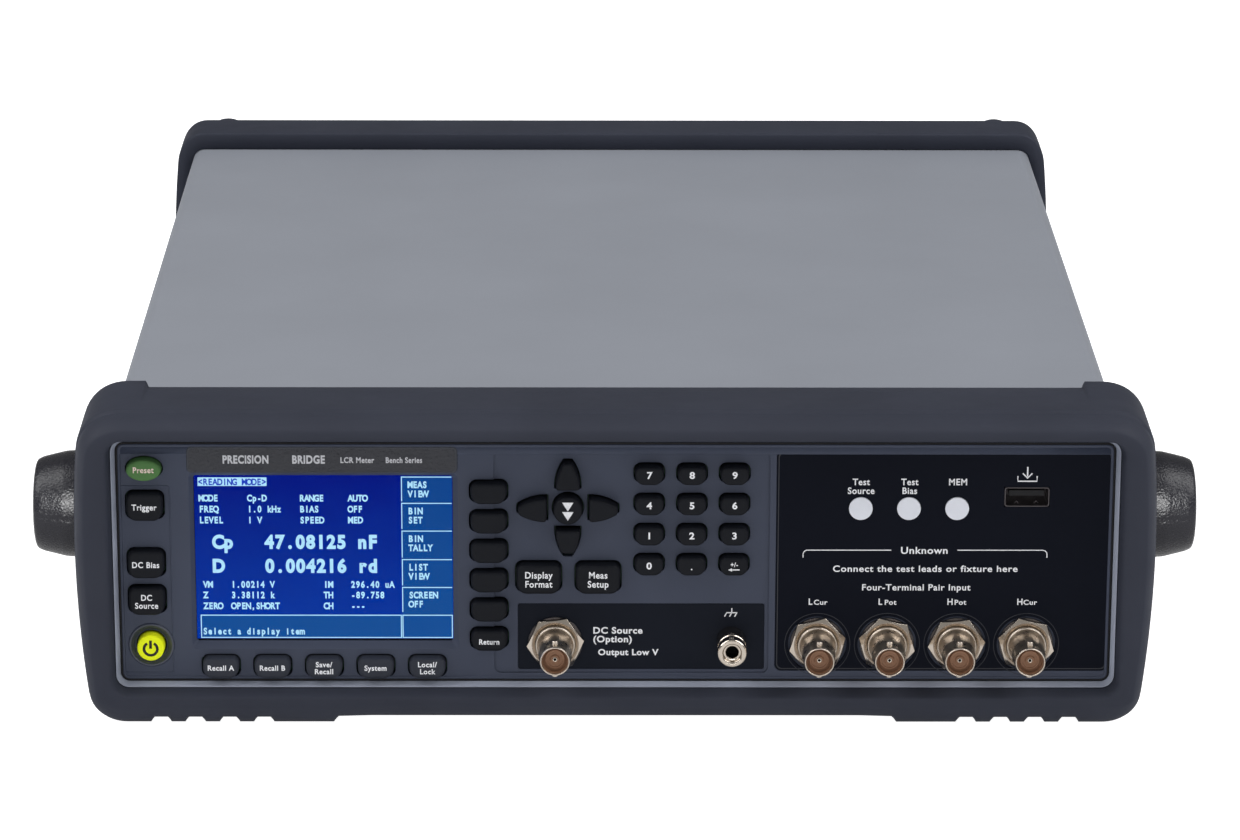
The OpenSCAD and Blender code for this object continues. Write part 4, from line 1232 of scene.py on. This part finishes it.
def softbox(name, place, target, size, power):
    light = bpy.data.lights.new(name, "AREA")
    light.shape = "RECTANGLE"
    light.size, light.size_y = size
    light.energy = power
    obj = bpy.data.objects.new(name, light)
    obj.location = place
    obj.rotation_euler = (Vector(target) - Vector(place)).to_track_quat("-Z", "Y").to_euler()
    bpy.context.scene.collection.objects.link(obj)
    return obj


def studio():
    world = bpy.data.worlds.new("studio")
    world.use_nodes = True
    nodes, links = world.node_tree.nodes, world.node_tree.links
    where = nodes.new("ShaderNodeTexCoord")
    split = nodes.new("ShaderNodeSeparateXYZ")
    links.new(where.outputs["Generated"], split.inputs["Vector"])
    fade = nodes.new("ShaderNodeMapRange")
    fade.inputs["From Min"].default_value = -0.9
    fade.inputs["From Max"].default_value = 0.6
    fade.inputs["To Min"].default_value = 0.35
    fade.inputs["To Max"].default_value = 0.22
    links.new(split.outputs["Y"], fade.inputs["Value"])
    links.new(fade.outputs["Result"], nodes["Background"].inputs["Strength"])
    nodes["Background"].inputs["Color"].default_value = (1, 1, 1, 1)
    bpy.context.scene.world = world
    for side, name in ((-1, "left"), (1, "right")):
        softbox("overhead_" + name, (side * 1.15, -0.3, 1.25), (0, -0.05, 0.05), (0.9, 1.5), 17)
    softbox("front", (0.0, -2.3, 0.35), (0, -0.18, 0.05), (2.4, 0.2), 6)
    glint = softbox("grip_glint", (0.0, -2.3, 0.85), (0, -0.17, 0.05), (2.4, 0.9), 140)
    only = bpy.data.collections.new("glint_receivers")
    only.objects.link(bpy.data.objects["bail_handle"])
    glint.light_linking.receiver_collection = only
    bpy.context.scene.view_settings.view_transform = "Standard"
    bpy.context.scene.view_settings.look = "None"


def camera():
    """A long lens in front of the case, looking slightly down."""
    heading, pitch, roll = -0.365, -17.3, 0.15
    cam = bpy.data.cameras.new("camera")
    cam.lens, cam.sensor_width, cam.clip_end = 145, 36, 50
    obj = bpy.data.objects.new("camera", cam)
    obj.location = (-0.0082, -1.6681, 0.5646)
    turns = [(heading, "Z"), (90 + pitch, "X"), (roll, "Z")]
    turn, tilt, twist = [Matrix.Rotation(math.radians(angle), 3, axis) for angle, axis in turns]
    obj.rotation_euler = (turn @ tilt @ twist).to_euler()
    bpy.context.scene.collection.objects.link(obj)
    bpy.context.scene.camera = obj


front_bumper()
rear_bumper()
panel_trim()
name_plate()
screen_back()
screen_text()
screen_lines()
source_inlay()
plate_print()
ground_mark()
all_keys()
terminals()
ground_post()
usb_socket()
handle()
dress_cad()
floor()
studio()
camera()
